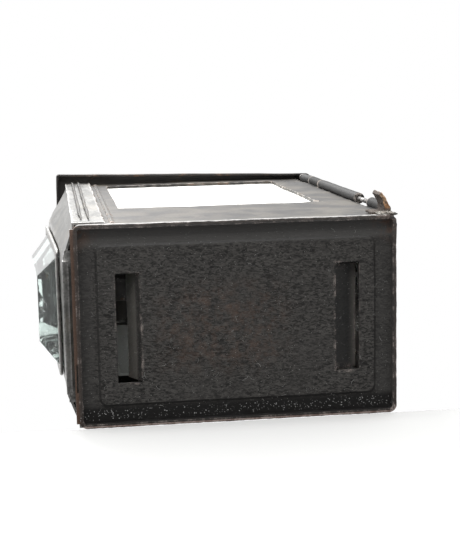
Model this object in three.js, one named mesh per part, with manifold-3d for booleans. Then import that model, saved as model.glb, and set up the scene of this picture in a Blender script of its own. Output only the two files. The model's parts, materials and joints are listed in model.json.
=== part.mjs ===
// Candle lantern of thin japanned sheet: a tall case on a shallow base tray, a raised front with a thick
// bevelled lens, a glazed window in each side, a hinged back door, and a hipped roof with a capped chimney.
// Millimetres, +Z up. The lens faces -Y, the door is at +Y and its hinge runs up the +X +Y corner.
import * as THREE from "three";
import { mergeVertices } from "three/addons/utils/BufferGeometryUtils.js";
import Module from "manifold-3d";

const wasm = await Module();
wasm.setup();

// ---- Driving dimensions ----
const BASE_WIDTH = 63; // along X
const BASE_DEPTH = 100; // along Y
const CASE_TOP = 160; // top face of the eave plate
const TIN = 0.8; // thickness of the sheet
const SEAM = 0.3; // gap between two pieces that are soldered or rest on each other

// Base tray
const CORNER_RADIUS = 2.2;
const RIM_WALL = 1.2;
const TRAY_RECESS = 2.2; // from the rim's foot up to the tray sheet
const FIELD_PROUD = 0.5;
const FIELD_BEVEL = 0.7;
const BORDER_BAND = 6.2; // from the rim's outer face to the embossed field
const UPSTAND_HEIGHT = 5;
const SLOT_WIDTH = 7.5;
const SLOT_LENGTH = 34.4;
const TONGUE_CLEARANCE = 0.5;
const SLOT_FROM_FRONT = 19.7; // from the base's front edge to the bend of the front tongue
const SLOT_FROM_BACK = 19.1;
const SLOTS = [
  { bendY: -BASE_DEPTH / 2 + SLOT_FROM_FRONT, outward: -1, middle: -1, bendDeg: 60 },
  { bendY: BASE_DEPTH / 2 - SLOT_FROM_BACK, outward: 1, middle: -0.2, bendDeg: 17 },
];

// Walls
const WALL_INSET = 0.5; // side sheets stand this far inside the base's edge
const WINDOW_FRONT = -BASE_DEPTH / 2 + 16.5;
const WINDOW_BACK = BASE_DEPTH / 2 - 14;
const WINDOW_BOTTOM = 55;
const WINDOW_TOP = CASE_TOP - 11;
const CUT_WAVE = 1.1; // waviness of the hand-cut window edges
const SIDE_RIB_FROM_WINDOW = 3.4;
const SIDE_RIB_WIDTH = 1.6;
const SIDE_RIB_PROUD = 0.5;
const SIDE_RIB_MARGIN = 4; // from the rib's ends to the sheet's

// Front sheet
const FRONT_LAP = 9.6; // how far its flanges lap over the side sheets
const FLANK_MARGIN = 0.8; // from the side sheet's face to the foot of the sloping flank
const LENS_MARGIN = 3.6; // from the lens's edge to the top of the flank
const BULGE = [
  [3, 3.1],
  [14, 3.3],
  [CASE_TOP - 58, 7.3],
  [CASE_TOP - 22, 5.9],
  [CASE_TOP - 10, 4.4],
  [CASE_TOP - 3, 2.4],
]; // height, how far the front stands proud there
const FRONT_ROWS = 40;
const LIP_DROP = 2.0;
const LIP_THICKNESS = 1.5;
const LIP_PROUD = 0.25;
const POCKET_WIDTH = 8.8; // dent in the rim under the front sheet
const POCKET_FROM_FLANK = 1.2;

// Lens
const LENS_WIDTH = 36;
const LENS_HEIGHT = 66;
const LENS_BOTTOM = 31;
const LENS_BEVEL = 7;
const LENS_STEP = 1; // straight edge below the bevel
const LENS_PROUD = 7.2;
const LENS_FLANGE = 1.6;
const LENS_FLANGE_THICKNESS = 2;
const BEZEL_WIDTH = 3;
const BEZEL_PROUD = 1.1;
const CLIP_WIDTH = 8;
const CLIP_REACH = 3.2;

// Side glazing
const PANE_THICKNESS = 1.6;
const PANE_LAP = 2.6; // how far a pane reaches past the window
const CHANNEL_WALL = 2.2;
const CHANNEL_LIP = 1.1;

// Back frame, door and hinge
const STILE = 7.4;
const FRAME_RAIL = 9;
const HINGE_STILE = 6;
const DOOR_BOTTOM = 6;
const DOOR_TOP = CASE_TOP - 10;
const DOOR_HEM = 0.5;
const DOOR_HEM_WIDTH = 3;
const DOOR_STILE_SHOWN = 6.7; // width of the fixed stile left beside the door
const PIN_RADIUS = 0.8;
const PIN_CLEARANCE = 0.25;
const KNUCKLE_RADIUS = 1.9;
const PIN_BOTTOM = 14.5;
const PIN_TOP = CASE_TOP - 7;
const PIN_HEAD_RADIUS = 1.4;
const CASE_KNUCKLES = [
  [17, 34],
  [CASE_TOP - 46, CASE_TOP - 29],
];
const DOOR_KNUCKLES = [
  [52, CASE_TOP - 47],
  [CASE_TOP - 28, CASE_TOP - 11],
];
const REFLECTOR_MARGIN = 4; // from the frame's opening, at the hinge side
const REFLECTOR_PULL_MARGIN = 9.5; // the same at the pull's side
const REFLECTOR_TIN = 0.6;
const REFLECTOR_BOTTOM = 24;
const REFLECTOR_TOP = CASE_TOP - 26;

// Rivets, latch and pull
const RIVET_RADIUS = 1.2;
const RIVET_HEAD = 2.3;
const HEAD_THICKNESS = 0.8;
const LATCH_HEIGHT = 84;
const LATCH_ARM = 11.5;
const LATCH_WIDTH = 5;
const LATCH_TIN = 1;
const LATCH_LIP = 2.4;
const PULL_RADIUS = 3.6;
const PULL_LENGTH = 6.2;
const PULL_FROM_EDGE = 6;
const PULL_HEIGHT = 66;

// Tray, cup and candle
const TRAY_WIDTH = 44;
const TRAY_DEPTH = 54;
const TRAY_HEIGHT = 6;
const TRAY_CORNER = 5;
const CANDLE_RADIUS = 10;
const CANDLE_HEIGHT = 46;
const CUP_CLEARANCE = 0.4;
const CUP_HEIGHT = 18;
const CUP_SLIT = 1.2;
const WICK_RADIUS = 0.7;
const WICK_LENGTH = 8;

// Hood
const HOOD_TWIST_DEG = 1.4; // the hood sits a little askew on the case
const EAVE_SIDE = 3; // overhang past the base's edge
const EAVE_FRONT = 4.7;
const EAVE_BACK = 3.5;
const EAVE_SKIRT = 3.2;
const ROOF_INSET_SIDE = 1.5; // from the base's edge in to the roof's foot
const ROOF_INSET_END = 2;
const ROOF_HEIGHT = 23;
const VENT_LENGTH = 12;
const VENT_HEIGHT = 3;
const VENT_PITCH = 20;
const CHIMNEY_RADIUS = 12.5;
const RIDGE_MARGIN = 2.5; // level tin left beside the chimney
const HIP_RUN = 17; // how far the end slopes run back
const EAVE_OPENING_MARGIN = [5, 1]; // the eave's opening is this much wider and longer than the ridge
const CHIMNEY_FLANGE = 1.6;
const CHIMNEY_HEIGHT = 18;
const CHIMNEY_HOLES = 10;
const CHIMNEY_HOLE_RADIUS = 1.7;
const CAP_OVERHANG = 6.5;
const CAP_RISE = 8;
const CAP_ROLL = 0.9;
const CAP_GAP = 4; // draught gap between chimney and cap
const LEG_COUNT = 3;
const LEG_WIDTH = 3.4;
const LEG_LAP = 5;
const RING_RADIUS = 22;
const RING_WIRE = 1.4;
const RING_DROOP_DEG = 56;
const STAPLE_WIRE = 0.9;
const STAPLE_RADIUS = 3.4;
const STAPLE_NECK = 2.6;
const STAPLE_DISC = 1;

// Rusty bent tab at the hinge corner
const TAB_BOTTOM = 4.4;
const TAB_HEIGHT = 8.6;
const TAB_REACH = 7;

// ---- Derived places ----
const halfWidth = BASE_WIDTH / 2;
const halfDepth = BASE_DEPTH / 2;
const trayTop = TRAY_RECESS + TIN;
const wallFoot = trayTop + SEAM;
const wallTop = CASE_TOP - TIN - SEAM;
const sideOuter = halfWidth - WALL_INSET;
const flankOuter = sideOuter - FLANK_MARGIN;
const flankInner = LENS_WIDTH / 2 + LENS_MARGIN;
const sideInner = sideOuter - TIN;
const frontOuter = -halfDepth - 0.2;
const frontInner = frontOuter + TIN;
const frameOuter = halfDepth - SEAM;
const frameInner = frameOuter - TIN;
const doorInner = frameOuter + SEAM;
const doorOuter = doorInner + TIN;
const hingeX = sideOuter + KNUCKLE_RADIUS / 2;
const hingeY = doorOuter - TIN / 4;
const knuckleReach = KNUCKLE_RADIUS + SEAM;
const doorFreeEdge = -(sideInner - DOOR_STILE_SHOWN);
const doorHingeEdge = hingeX - knuckleReach - SEAM;
const hoodBase = CASE_TOP + SEAM;
const roofFoot = [BASE_WIDTH - 2 * ROOF_INSET_SIDE, BASE_DEPTH - 2 * ROOF_INSET_END];
const ridge = [2 * (CHIMNEY_RADIUS + RIDGE_MARGIN), roofFoot[1] - 2 * HIP_RUN];
const capRadius = CHIMNEY_RADIUS + CAP_OVERHANG;
const roofTop = hoodBase + ROOF_HEIGHT;
const chimneyFoot = roofTop + SEAM;
const chimneyTop = chimneyFoot + CHIMNEY_HEIGHT;
const capEdge = chimneyTop + CAP_GAP;
const capApex = capEdge + CAP_RISE;
const ringPivot = capApex + SEAM + STAPLE_DISC + STAPLE_NECK;

const rad = THREE.MathUtils.degToRad;

// ---- Materials ----
const material = (color, roughness, metalness, opacity = 1) =>
  new THREE.MeshStandardMaterial({
    color,
    roughness,
    metalness,
    opacity,
    transparent: opacity < 1,
  });
const japan = material(0x34322f, 0.6, 0.3);
const wornJapan = material(0x4a4743, 0.6, 0.4);
const greyTin = material(0x8d8a84, 0.5, 0.7);
const brightTin = material(0xc9c8c2, 0.25, 0.9);
const rust = material(0x8a5a36, 0.85, 0.2);
const wire = material(0x6d675f, 0.45, 0.8);
const brass = material(0x9a7a42, 0.4, 0.8);
const glass = material(0xd8e2dc, 0.05, 0, 0.35);
const wax = material(0xe9e2cc, 0.55, 0);
const wickBlack = material(0x2a2622, 0.9, 0);

// ---- Solids ----
function solidOf(geometry) {
  const bare = new THREE.BufferGeometry();
  bare.setAttribute("position", geometry.getAttribute("position"));
  bare.setIndex(geometry.index);
  const merged = mergeVertices(bare, 1e-4);
  const vertProperties = merged.attributes.position.array;
  const triVerts = new Uint32Array(merged.index.array);
  return new wasm.Manifold(new wasm.Mesh({ numProp: 3, vertProperties, triVerts }));
}

function geometryOf(solid) {
  const { vertProperties, triVerts } = solid.getMesh();
  const indexed = new THREE.BufferGeometry();
  indexed.setAttribute("position", new THREE.BufferAttribute(vertProperties, 3));
  indexed.setIndex(new THREE.BufferAttribute(triVerts, 1));
  const flat = indexed.toNonIndexed();
  flat.computeVertexNormals();
  return flat;
}

const join = (...solids) => solids.reduce((whole, piece) => whole.add(piece));
const cut = (body, ...tools) => tools.reduce((rest, tool) => rest.subtract(tool), body);

// A block between two corners.
function block([x0, x1], [y0, y1], [z0, z1]) {
  const geometry = new THREE.BoxGeometry(x1 - x0, y1 - y0, z1 - z0);
  return solidOf(geometry.translate((x0 + x1) / 2, (y0 + y1) / 2, (z0 + z1) / 2));
}

// A block whose foot and top differ in size.
function frustum(foot, top, z0, z1) {
  const geometry = new THREE.BoxGeometry(1, 1, 1);
  const points = geometry.attributes.position;
  for (let i = 0; i < points.count; i++) {
    const [width, depth] = points.getZ(i) > 0 ? top : foot;
    const z = points.getZ(i) > 0 ? z1 : z0;
    points.setXYZ(i, points.getX(i) * width, points.getY(i) * depth, z);
  }
  return solidOf(geometry);
}

function roundedRectangle(width, depth, radius) {
  const x = width / 2;
  const y = depth / 2;
  const shape = new THREE.Shape();
  shape.moveTo(-x + radius, -y);
  shape.lineTo(x - radius, -y);
  shape.absarc(x - radius, -y + radius, radius, -Math.PI / 2, 0);
  shape.lineTo(x, y - radius);
  shape.absarc(x - radius, y - radius, radius, 0, Math.PI / 2);
  shape.lineTo(-x + radius, y);
  shape.absarc(-x + radius, y - radius, radius, Math.PI / 2, Math.PI);
  shape.lineTo(-x, -y + radius);
  shape.absarc(-x + radius, -y + radius, radius, Math.PI, 1.5 * Math.PI);
  return shape;
}

// A shape in XY, pulled up from z0 to z1.
function prism(shape, z0, z1, options = {}) {
  const settings = { depth: z1 - z0, bevelEnabled: false, curveSegments: 5, ...options };
  return solidOf(new THREE.ExtrudeGeometry(shape, settings).translate(0, 0, z0));
}

// A shape drawn in Y and Z, pulled along X.
function sidePlate(shape, x0, x1) {
  const turn = new THREE.Matrix4().makeBasis(
    new THREE.Vector3(0, 1, 0),
    new THREE.Vector3(0, 0, 1),
    new THREE.Vector3(1, 0, 0),
  );
  const settings = { depth: x1 - x0, bevelEnabled: false, curveSegments: 5 };
  return solidOf(new THREE.ExtrudeGeometry(shape, settings).applyMatrix4(turn).translate(x0, 0, 0));
}

function polygon(points) {
  return new THREE.Shape(points.map(([a, b]) => new THREE.Vector2(a, b)));
}

// A round bar along Z.
function bar(radius, z0, z1, x = 0, y = 0, sides = 24) {
  const geometry = new THREE.CylinderGeometry(radius, radius, z1 - z0, sides);
  return solidOf(geometry.rotateX(Math.PI / 2).translate(x, y, (z0 + z1) / 2));
}

// A round bar along Y.
function crossBar(radius, y0, y1, x, z, sides = 20) {
  const geometry = new THREE.CylinderGeometry(radius, radius, y1 - y0, sides);
  return solidOf(geometry.translate(x, (y0 + y1) / 2, z));
}

// A solid of revolution about Z from its outline of radius and height.
function turned(outline, segments = 32) {
  const points = outline.map(([r, z]) => new THREE.Vector2(r, z));
  return solidOf(new THREE.LatheGeometry(points, segments).rotateX(Math.PI / 2));
}

// A rectangular ring of sheet, outer size given, standing from z0 to z1.
function wallRing(width, depth, radius, wall, z0, z1) {
  const inner = roundedRectangle(width - 2 * wall, depth - 2 * wall, Math.max(radius - wall, 0.3));
  return cut(prism(roundedRectangle(width, depth, radius), z0, z1), prism(inner, z0 - 1, z1 + 1));
}

function addMesh(group, name, solid, look) {
  const mesh = new THREE.Mesh(geometryOf(solid), look);
  mesh.name = name;
  group.add(mesh);
}

// ---- Base tray ----
function tongue({ bendY, outward, middle, bendDeg }) {
  const length = SLOT_WIDTH - TONGUE_CLEARANCE;
  const width = SLOT_LENGTH - 2 * TONGUE_CLEARANCE;
  const bend = rad(bendDeg) * outward;
  const root = 0.6;
  const blade = new THREE.BoxGeometry(width, length + root, TIN);
  blade.translate(0, (outward * (length - root)) / 2, 0);
  blade.rotateX(bend);
  blade.translate(middle, bendY, TRAY_RECESS + TIN / 2);
  return solidOf(blade);
}

function slotCut({ bendY, outward, middle }) {
  const farEdge = bendY + outward * SLOT_WIDTH;
  const across = [Math.min(bendY, farEdge), Math.max(bendY, farEdge)];
  return block([middle - SLOT_LENGTH / 2, middle + SLOT_LENGTH / 2], across, [0, trayTop + 1]);
}

function basePlate() {
  const rim = wallRing(BASE_WIDTH, BASE_DEPTH, CORNER_RADIUS, RIM_WALL, 0, trayTop);
  const sheetOutline = roundedRectangle(BASE_WIDTH - RIM_WALL, BASE_DEPTH - RIM_WALL, CORNER_RADIUS);
  const fieldOutline = roundedRectangle(
    BASE_WIDTH - 2 * (BORDER_BAND + FIELD_BEVEL),
    BASE_DEPTH - 2 * (BORDER_BAND + FIELD_BEVEL),
    CORNER_RADIUS,
  );
  const bevel = {
    bevelEnabled: true,
    bevelThickness: FIELD_PROUD,
    bevelSize: FIELD_BEVEL,
    bevelSegments: 1,
  };
  const field = prism(fieldOutline, TRAY_RECESS, TRAY_RECESS + 0.1, bevel);
  const upstandDepth = frameInner - frontInner - 2 * SEAM;
  const upstandWidth = 2 * (sideInner - SEAM);
  const upstandTop = trayTop + UPSTAND_HEIGHT;
  const upstand = wallRing(upstandWidth, upstandDepth, 1, TIN, trayTop - 0.2, upstandTop);
  const frontLip = block(
    [-flankOuter, flankOuter],
    [-halfDepth - 1, -halfDepth + 0.5],
    [1.2, trayTop - 0.2],
  );
  const pocketX = -flankInner + POCKET_FROM_FLANK;
  const pocket = block(
    [pocketX, pocketX + POCKET_WIDTH],
    [-halfDepth - 0.45, -halfDepth + 0.1],
    [0.8, trayTop],
  );
  const whole = join(
    rim,
    prism(sheetOutline, TRAY_RECESS, trayTop),
    field,
    upstand.translate([0, (frameInner + frontInner) / 2, 0]),
    frontLip,
  );
  return join(cut(whole, pocket, ...SLOTS.map(slotCut)), ...SLOTS.map(tongue));
}

// ---- Side sheets ----
// The window was cut by hand, so its lower and rear edges waver and the lower rear corner ends in a nick.
function windowOutline() {
  const span = WINDOW_BACK - WINDOW_FRONT;
  const rise = WINDOW_TOP - WINDOW_BOTTOM;
  const wave = CUT_WAVE;
  return polygon([
    [WINDOW_FRONT, WINDOW_BOTTOM],
    [WINDOW_FRONT + 0.3 * span, WINDOW_BOTTOM - 0.5 * wave],
    [WINDOW_FRONT + 0.62 * span, WINDOW_BOTTOM + 0.3 * wave],
    [WINDOW_FRONT + 0.84 * span, WINDOW_BOTTOM - 0.8 * wave],
    [WINDOW_BACK, WINDOW_BOTTOM + 0.4 * wave],
    [WINDOW_BACK + 1.9 * wave, WINDOW_BOTTOM - 1.1 * wave],
    [WINDOW_BACK + 1.4 * wave, WINDOW_BOTTOM + 2.4 * wave],
    [WINDOW_BACK + 0.2 * wave, WINDOW_BOTTOM + 4 * wave],
    [WINDOW_BACK + 0.6 * wave, WINDOW_BOTTOM + 0.4 * rise],
    [WINDOW_BACK, WINDOW_BOTTOM + 0.7 * rise],
    [WINDOW_BACK + 0.4 * wave, WINDOW_TOP],
    [WINDOW_FRONT, WINDOW_TOP],
  ]);
}

function sideSheet(side, backEdge) {
  const outline = polygon([
    [frontInner + SEAM, wallFoot],
    [backEdge, wallFoot],
    [backEdge, wallTop],
    [frontInner + SEAM, wallTop],
  ]);
  outline.holes.push(windowOutline());
  const near = Math.min(side * sideInner, side * sideOuter);
  const sheet = sidePlate(outline, near, near + TIN);
  const ribRadius = SIDE_RIB_WIDTH / 2;
  const ribBar = bar(ribRadius, wallFoot + SIDE_RIB_MARGIN, wallTop - SIDE_RIB_MARGIN, 0, 0, 12);
  const rib = ribBar.scale([SIDE_RIB_PROUD / ribRadius, 1, 1]);
  return join(sheet, rib.translate([side * sideOuter, WINDOW_FRONT - SIDE_RIB_FROM_WINDOW - ribRadius, 0]));
}

function knuckle([z0, z1], web) {
  return cut(
    join(bar(KNUCKLE_RADIUS, z0, z1, hingeX, hingeY), web),
    bar(PIN_RADIUS + PIN_CLEARANCE, z0 - 1, z1 + 1, hingeX, hingeY),
  );
}

function rightSheet() {
  const backEdge = hingeY - knuckleReach;
  const rolls = CASE_KNUCKLES.map((span) =>
    knuckle(span, block([sideInner, sideOuter], [backEdge - 0.5, hingeY - PIN_RADIUS], span)),
  );
  return join(sideSheet(1, backEdge), ...rolls);
}

// ---- Front sheet ----
function bulgeAt(z) {
  const above = BULGE.findIndex(([height]) => height >= z);
  if (above < 0) return BULGE[BULGE.length - 1][1];
  if (above === 0) return BULGE[0][1];
  const [z0, b0] = BULGE[above - 1];
  const [z1, b1] = BULGE[above];
  return b0 + ((b1 - b0) * (z - z0)) / (z1 - z0);
}

const lensLean = Math.atan((bulgeAt(90) - bulgeAt(30)) / 60);
const lensOpening = { width: LENS_WIDTH + 2 * SEAM, height: LENS_HEIGHT + 2 * SEAM };

// Turns a solid drawn in the lens's own frame (Y along its axis, Z up its face) into the case's frame.
function onFront(solid) {
  return solid
    .rotate([THREE.MathUtils.radToDeg(lensLean), 0, 0])
    .translate([0, frontOuter - bulgeAt(LENS_BOTTOM), LENS_BOTTOM]);
}

function frontSheet() {
  const flangeOuter = sideOuter + SEAM + 0.6;
  const flangeInner = sideOuter + SEAM;
  const flangeEnd = -halfDepth + FRONT_LAP;
  const footBulge = bulgeAt(wallFoot);
  const half = [
    [flankInner, frontOuter - footBulge],
    [flankOuter, frontOuter],
    [flangeOuter, frontOuter],
    [flangeOuter, flangeEnd],
    [flangeInner, flangeEnd],
    [flangeInner, frontInner],
    [flankOuter, frontInner],
    [flankInner, frontInner - footBulge],
  ];
  const section = polygon([...half, ...half.map(([x, y]) => [-x, y]).reverse()]);
  const settings = { depth: wallTop - wallFoot, steps: FRONT_ROWS, bevelEnabled: false };
  const geometry = new THREE.ExtrudeGeometry(section, settings).translate(0, 0, wallFoot);
  const points = geometry.attributes.position;
  for (let i = 0; i < points.count; i++) {
    const across = (flankOuter - Math.abs(points.getX(i))) / (flankOuter - flankInner);
    const share = THREE.MathUtils.clamp(across, 0, 1);
    points.setY(i, points.getY(i) - share * (bulgeAt(points.getZ(i)) - footBulge));
  }
  const lipOuter = frontOuter - footBulge;
  const lip = block(
    [-flankInner + 1, flankInner - 1],
    [lipOuter - LIP_PROUD, lipOuter + LIP_THICKNESS],
    [wallFoot - LIP_DROP, wallFoot + 1.5],
  );
  const shelf = block(
    [-flankInner - 2, flankInner + 2],
    [lipOuter + 0.4, frontInner - 0.2],
    [wallFoot, wallFoot + TIN],
  );
  const opening = block(
    [-lensOpening.width / 2, lensOpening.width / 2],
    [-10, 10],
    [-SEAM, LENS_HEIGHT + SEAM],
  );
  return cut(join(solidOf(geometry), lip, shelf), onFront(opening));
}

// ---- Lens ----
function lensGlass() {
  const foot = [LENS_WIDTH, LENS_HEIGHT];
  const table = [LENS_WIDTH - 2 * LENS_BEVEL, LENS_HEIGHT - 2 * LENS_BEVEL];
  const back = TIN + 2 * SEAM;
  const flangeSize = [LENS_WIDTH + 2 * LENS_FLANGE, LENS_HEIGHT + 2 * LENS_FLANGE];
  const stack = join(
    frustum(flangeSize, flangeSize, -back - LENS_FLANGE_THICKNESS, -back),
    frustum(foot, foot, -back - 0.5, LENS_STEP),
    frustum(foot, table, LENS_STEP, LENS_PROUD),
  );
  return onFront(stack.rotate([90, 0, 0]).translate([0, 0, LENS_HEIGHT / 2]));
}

function lensBezel() {
  const outer = roundedRectangle(
    LENS_WIDTH + 2 * BEZEL_WIDTH - 1,
    LENS_HEIGHT + 2 * BEZEL_WIDTH - 1,
    1.5,
  );
  const rolled = { bevelEnabled: true, bevelThickness: 0.45, bevelSize: 0.5, bevelSegments: 2 };
  const frame = cut(
    prism(outer, SEAM + 0.45, SEAM + BEZEL_PROUD - 0.45, rolled),
    frustum(
      [lensOpening.width, lensOpening.height],
      [lensOpening.width, lensOpening.height],
      -1,
      BEZEL_PROUD + 2,
    ),
  );
  return onFront(frame.rotate([90, 0, 0]).translate([0, 0, LENS_HEIGHT / 2]));
}

// A bent strip that holds the lens's flange from inside.
function lensClip(side) {
  const inside = TIN + SEAM;
  const flangeEdge = LENS_WIDTH / 2 + LENS_FLANGE;
  const flangeBack = inside + SEAM + LENS_FLANGE_THICKNESS;
  const foot = block([flangeEdge + SEAM, flangeEdge + SEAM + 1], [inside, flangeBack + 1.2], [0, CLIP_WIDTH]);
  const arm = block(
    [flangeEdge + SEAM + 1 - CLIP_REACH, flangeEdge + SEAM + 1],
    [flangeBack + SEAM, flangeBack + 1.2],
    [0, CLIP_WIDTH],
  );
  const clip = side > 0 ? join(foot, arm) : join(foot, arm).mirror([1, 0, 0]);
  return onFront(clip.translate([0, 0, (LENS_HEIGHT - CLIP_WIDTH) / 2]));
}

// ---- Side glazing ----
function rectangle(y0, y1, z0, z1) {
  return polygon([
    [y0, z0],
    [y1, z0],
    [y1, z1],
    [y0, z1],
  ]);
}

function windowRectangle(margin) {
  return rectangle(
    WINDOW_FRONT - margin,
    WINDOW_BACK + margin,
    WINDOW_BOTTOM - margin,
    WINDOW_TOP + margin,
  );
}

function windowPane(side) {
  const outer = sideInner - SEAM;
  const near = Math.min(side * outer, side * (outer - PANE_THICKNESS));
  return sidePlate(windowRectangle(PANE_LAP), near, near + PANE_THICKNESS);
}

function windowChannel(side) {
  const outer = sideInner - SEAM;
  const depth = PANE_THICKNESS + SEAM + CHANNEL_LIP;
  const near = Math.min(side * outer, side * (outer - depth));
  const pocketDepth = PANE_THICKNESS + SEAM;
  const pocketNear = side > 0 ? outer - pocketDepth : -outer - 1;
  return cut(
    sidePlate(windowRectangle(PANE_LAP + SEAM + CHANNEL_WALL), near, near + depth),
    sidePlate(windowRectangle(PANE_LAP + SEAM), pocketNear, pocketNear + pocketDepth + 1),
    sidePlate(windowRectangle(0.8), near - 1, near + depth + 1),
  );
}

// ---- Back frame, door and hinge ----
function backFrame() {
  const reach = sideInner - SEAM;
  const sheet = block([-reach, reach], [frameInner, frameOuter], [wallFoot, wallTop]);
  const opening = block(
    [-reach + STILE, reach - HINGE_STILE],
    [frameInner - 1, frameOuter + 1],
    [wallFoot + FRAME_RAIL, DOOR_TOP - 4],
  );
  const rivetHole = crossBar(RIVET_RADIUS + SEAM, frameInner - 1, frameOuter + 1, latchX, LATCH_HEIGHT);
  return cut(sheet, opening, rivetHole);
}

const latchX = -(sideInner - SEAM) + STILE / 2 - 0.2;
const pullX = doorFreeEdge + PULL_FROM_EDGE;
const reflectorEdges = [
  -(sideInner - SEAM) + STILE + REFLECTOR_PULL_MARGIN,
  sideInner - SEAM - HINGE_STILE - REFLECTOR_MARGIN,
];
const reflectorMiddle = (reflectorEdges[0] + reflectorEdges[1]) / 2;
const reflectorRivets = [REFLECTOR_BOTTOM + 8, REFLECTOR_TOP - 8];

function backDoor() {
  const sheet = block([doorFreeEdge, doorHingeEdge], [doorInner, doorOuter], [DOOR_BOTTOM, DOOR_TOP]);
  const hemOuter = [doorOuter - 0.2, doorOuter + DOOR_HEM];
  const hems = [
    block([doorFreeEdge, doorFreeEdge + DOOR_HEM_WIDTH], hemOuter, [DOOR_BOTTOM, DOOR_TOP]),
    block([doorFreeEdge, doorHingeEdge], hemOuter, [DOOR_BOTTOM, DOOR_BOTTOM + DOOR_HEM_WIDTH]),
    block([doorFreeEdge, doorHingeEdge], hemOuter, [DOOR_TOP - DOOR_HEM_WIDTH, DOOR_TOP]),
  ];
  const holes = [
    crossBar(RIVET_RADIUS + SEAM, doorInner - 1, doorOuter + 2, pullX, PULL_HEIGHT),
    ...reflectorRivets.map((z) =>
      crossBar(RIVET_RADIUS + SEAM, doorInner - 1, doorOuter + 2, reflectorMiddle, z),
    ),
  ];
  const rolls = DOOR_KNUCKLES.map((span) =>
    knuckle(span, block([doorHingeEdge - 0.5, hingeX - PIN_RADIUS], [doorInner, doorOuter], span)),
  );
  return join(cut(join(sheet, ...hems), ...holes), ...rolls);
}

function hingePin() {
  return join(
    bar(PIN_RADIUS, PIN_BOTTOM, PIN_TOP, hingeX, hingeY, 16),
    bar(PIN_HEAD_RADIUS, PIN_TOP - 0.2, PIN_TOP + 1, hingeX, hingeY, 16),
    bar(PIN_HEAD_RADIUS, PIN_BOTTOM - 1, PIN_BOTTOM + 0.2, hingeX, hingeY, 16),
  );
}

function reflector() {
  const outer = doorInner - SEAM;
  const sheet = block(reflectorEdges, [outer - REFLECTOR_TIN, outer], [REFLECTOR_BOTTOM, REFLECTOR_TOP]);
  const rims = reflectorEdges.map((x) =>
    block([x - 0.6, x + 0.6], [outer - REFLECTOR_TIN - 1, outer - 0.1], [REFLECTOR_BOTTOM, REFLECTOR_TOP]),
  );
  const holes = reflectorRivets.map((z) =>
    crossBar(RIVET_RADIUS + SEAM, outer - 3, outer + 1, reflectorMiddle, z),
  );
  return cut(join(sheet, ...rims), ...holes);
}

// A rivet along Y with a head at each end, its shank spanning from y0 to y1.
function rivet(x, z, y0, y1) {
  return join(
    crossBar(RIVET_RADIUS, y0 - HEAD_THICKNESS / 2, y1 + HEAD_THICKNESS / 2, x, z, 16),
    crossBar(RIVET_HEAD, y0 - HEAD_THICKNESS, y0, x, z),
    crossBar(RIVET_HEAD, y1, y1 + HEAD_THICKNESS, x, z),
  );
}

function reflectorRivet(z) {
  const inner = doorInner - SEAM - REFLECTOR_TIN - SEAM;
  return rivet(reflectorMiddle, z, inner, doorOuter + SEAM);
}

const latchInner = doorOuter + DOOR_HEM + SEAM;
const latchOuter = latchInner + LATCH_TIN;

function latchRivet() {
  const shoulder = crossBar(RIVET_HEAD - 0.4, frameOuter + SEAM, latchInner - SEAM, latchX, LATCH_HEIGHT);
  return join(rivet(latchX, LATCH_HEIGHT, frameInner - SEAM, latchOuter + SEAM), shoulder);
}

// The button hangs down beside the door and turns up over its edge.
function latchButton() {
  const tip = LATCH_HEIGHT - LATCH_ARM;
  const across = [latchX - LATCH_WIDTH / 2, latchX + LATCH_WIDTH / 2];
  const plate = join(
    block(across, [latchInner, latchOuter], [tip, LATCH_HEIGHT]),
    crossBar(LATCH_WIDTH / 2, latchInner, latchOuter, latchX, LATCH_HEIGHT, 24),
    block(across, [latchInner + 0.1, latchOuter + LATCH_LIP], [tip, tip + LATCH_TIN]),
  );
  return cut(plate, crossBar(RIVET_RADIUS + SEAM, latchInner - 1, latchOuter + 1, latchX, LATCH_HEIGHT));
}

function doorPull() {
  const foot = doorOuter + SEAM;
  const outline = [
    [0, -TIN - 2 * SEAM - 0.8],
    [RIVET_HEAD, -TIN - 2 * SEAM - 0.8],
    [RIVET_HEAD, -TIN - 2 * SEAM],
    [RIVET_RADIUS, -TIN - 2 * SEAM],
    [RIVET_RADIUS, 0],
    [0.72 * PULL_RADIUS, 0],
    [0.45 * PULL_RADIUS, 0.35 * PULL_LENGTH],
    [0.55 * PULL_RADIUS, 0.5 * PULL_LENGTH],
    [PULL_RADIUS, 0.64 * PULL_LENGTH],
    [PULL_RADIUS, 0.82 * PULL_LENGTH],
    [0.6 * PULL_RADIUS, PULL_LENGTH],
    [0, PULL_LENGTH],
  ];
  return turned(outline, 20).rotate([-90, 0, 0]).translate([pullX, foot, PULL_HEIGHT]);
}

// ---- Rusty tab bent out of the corner seam ----
function cornerTab() {
  const x = sideOuter + SEAM;
  const y = halfDepth - 1.6;
  const shape = new THREE.Shape();
  shape.moveTo(x, y - 5.2);
  shape.lineTo(x, y + 1.2);
  shape.quadraticCurveTo(x + 0.62 * TAB_REACH, y + 0.4, x + TAB_REACH, y - 2.2);
  shape.lineTo(x + TAB_REACH - 0.9, y - 2.9);
  shape.quadraticCurveTo(x + 0.5 * TAB_REACH, y - 0.9, x + 0.9, y - 1.2);
  shape.lineTo(x + 0.8, y - 5.2);
  const strip = prism(shape, TAB_BOTTOM, TAB_BOTTOM + TAB_HEIGHT);
  const corner = 3;
  const snip = block([0, 2 * corner], [-10, 10], [0, 2 * corner]).rotate([0, 45, 0]);
  const snipped = [TAB_BOTTOM + TAB_HEIGHT + 1.2, TAB_BOTTOM - 1.2];
  return cut(strip, ...snipped.map((z) => snip.translate([x + TAB_REACH - 1.6, y, z])));
}

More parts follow.
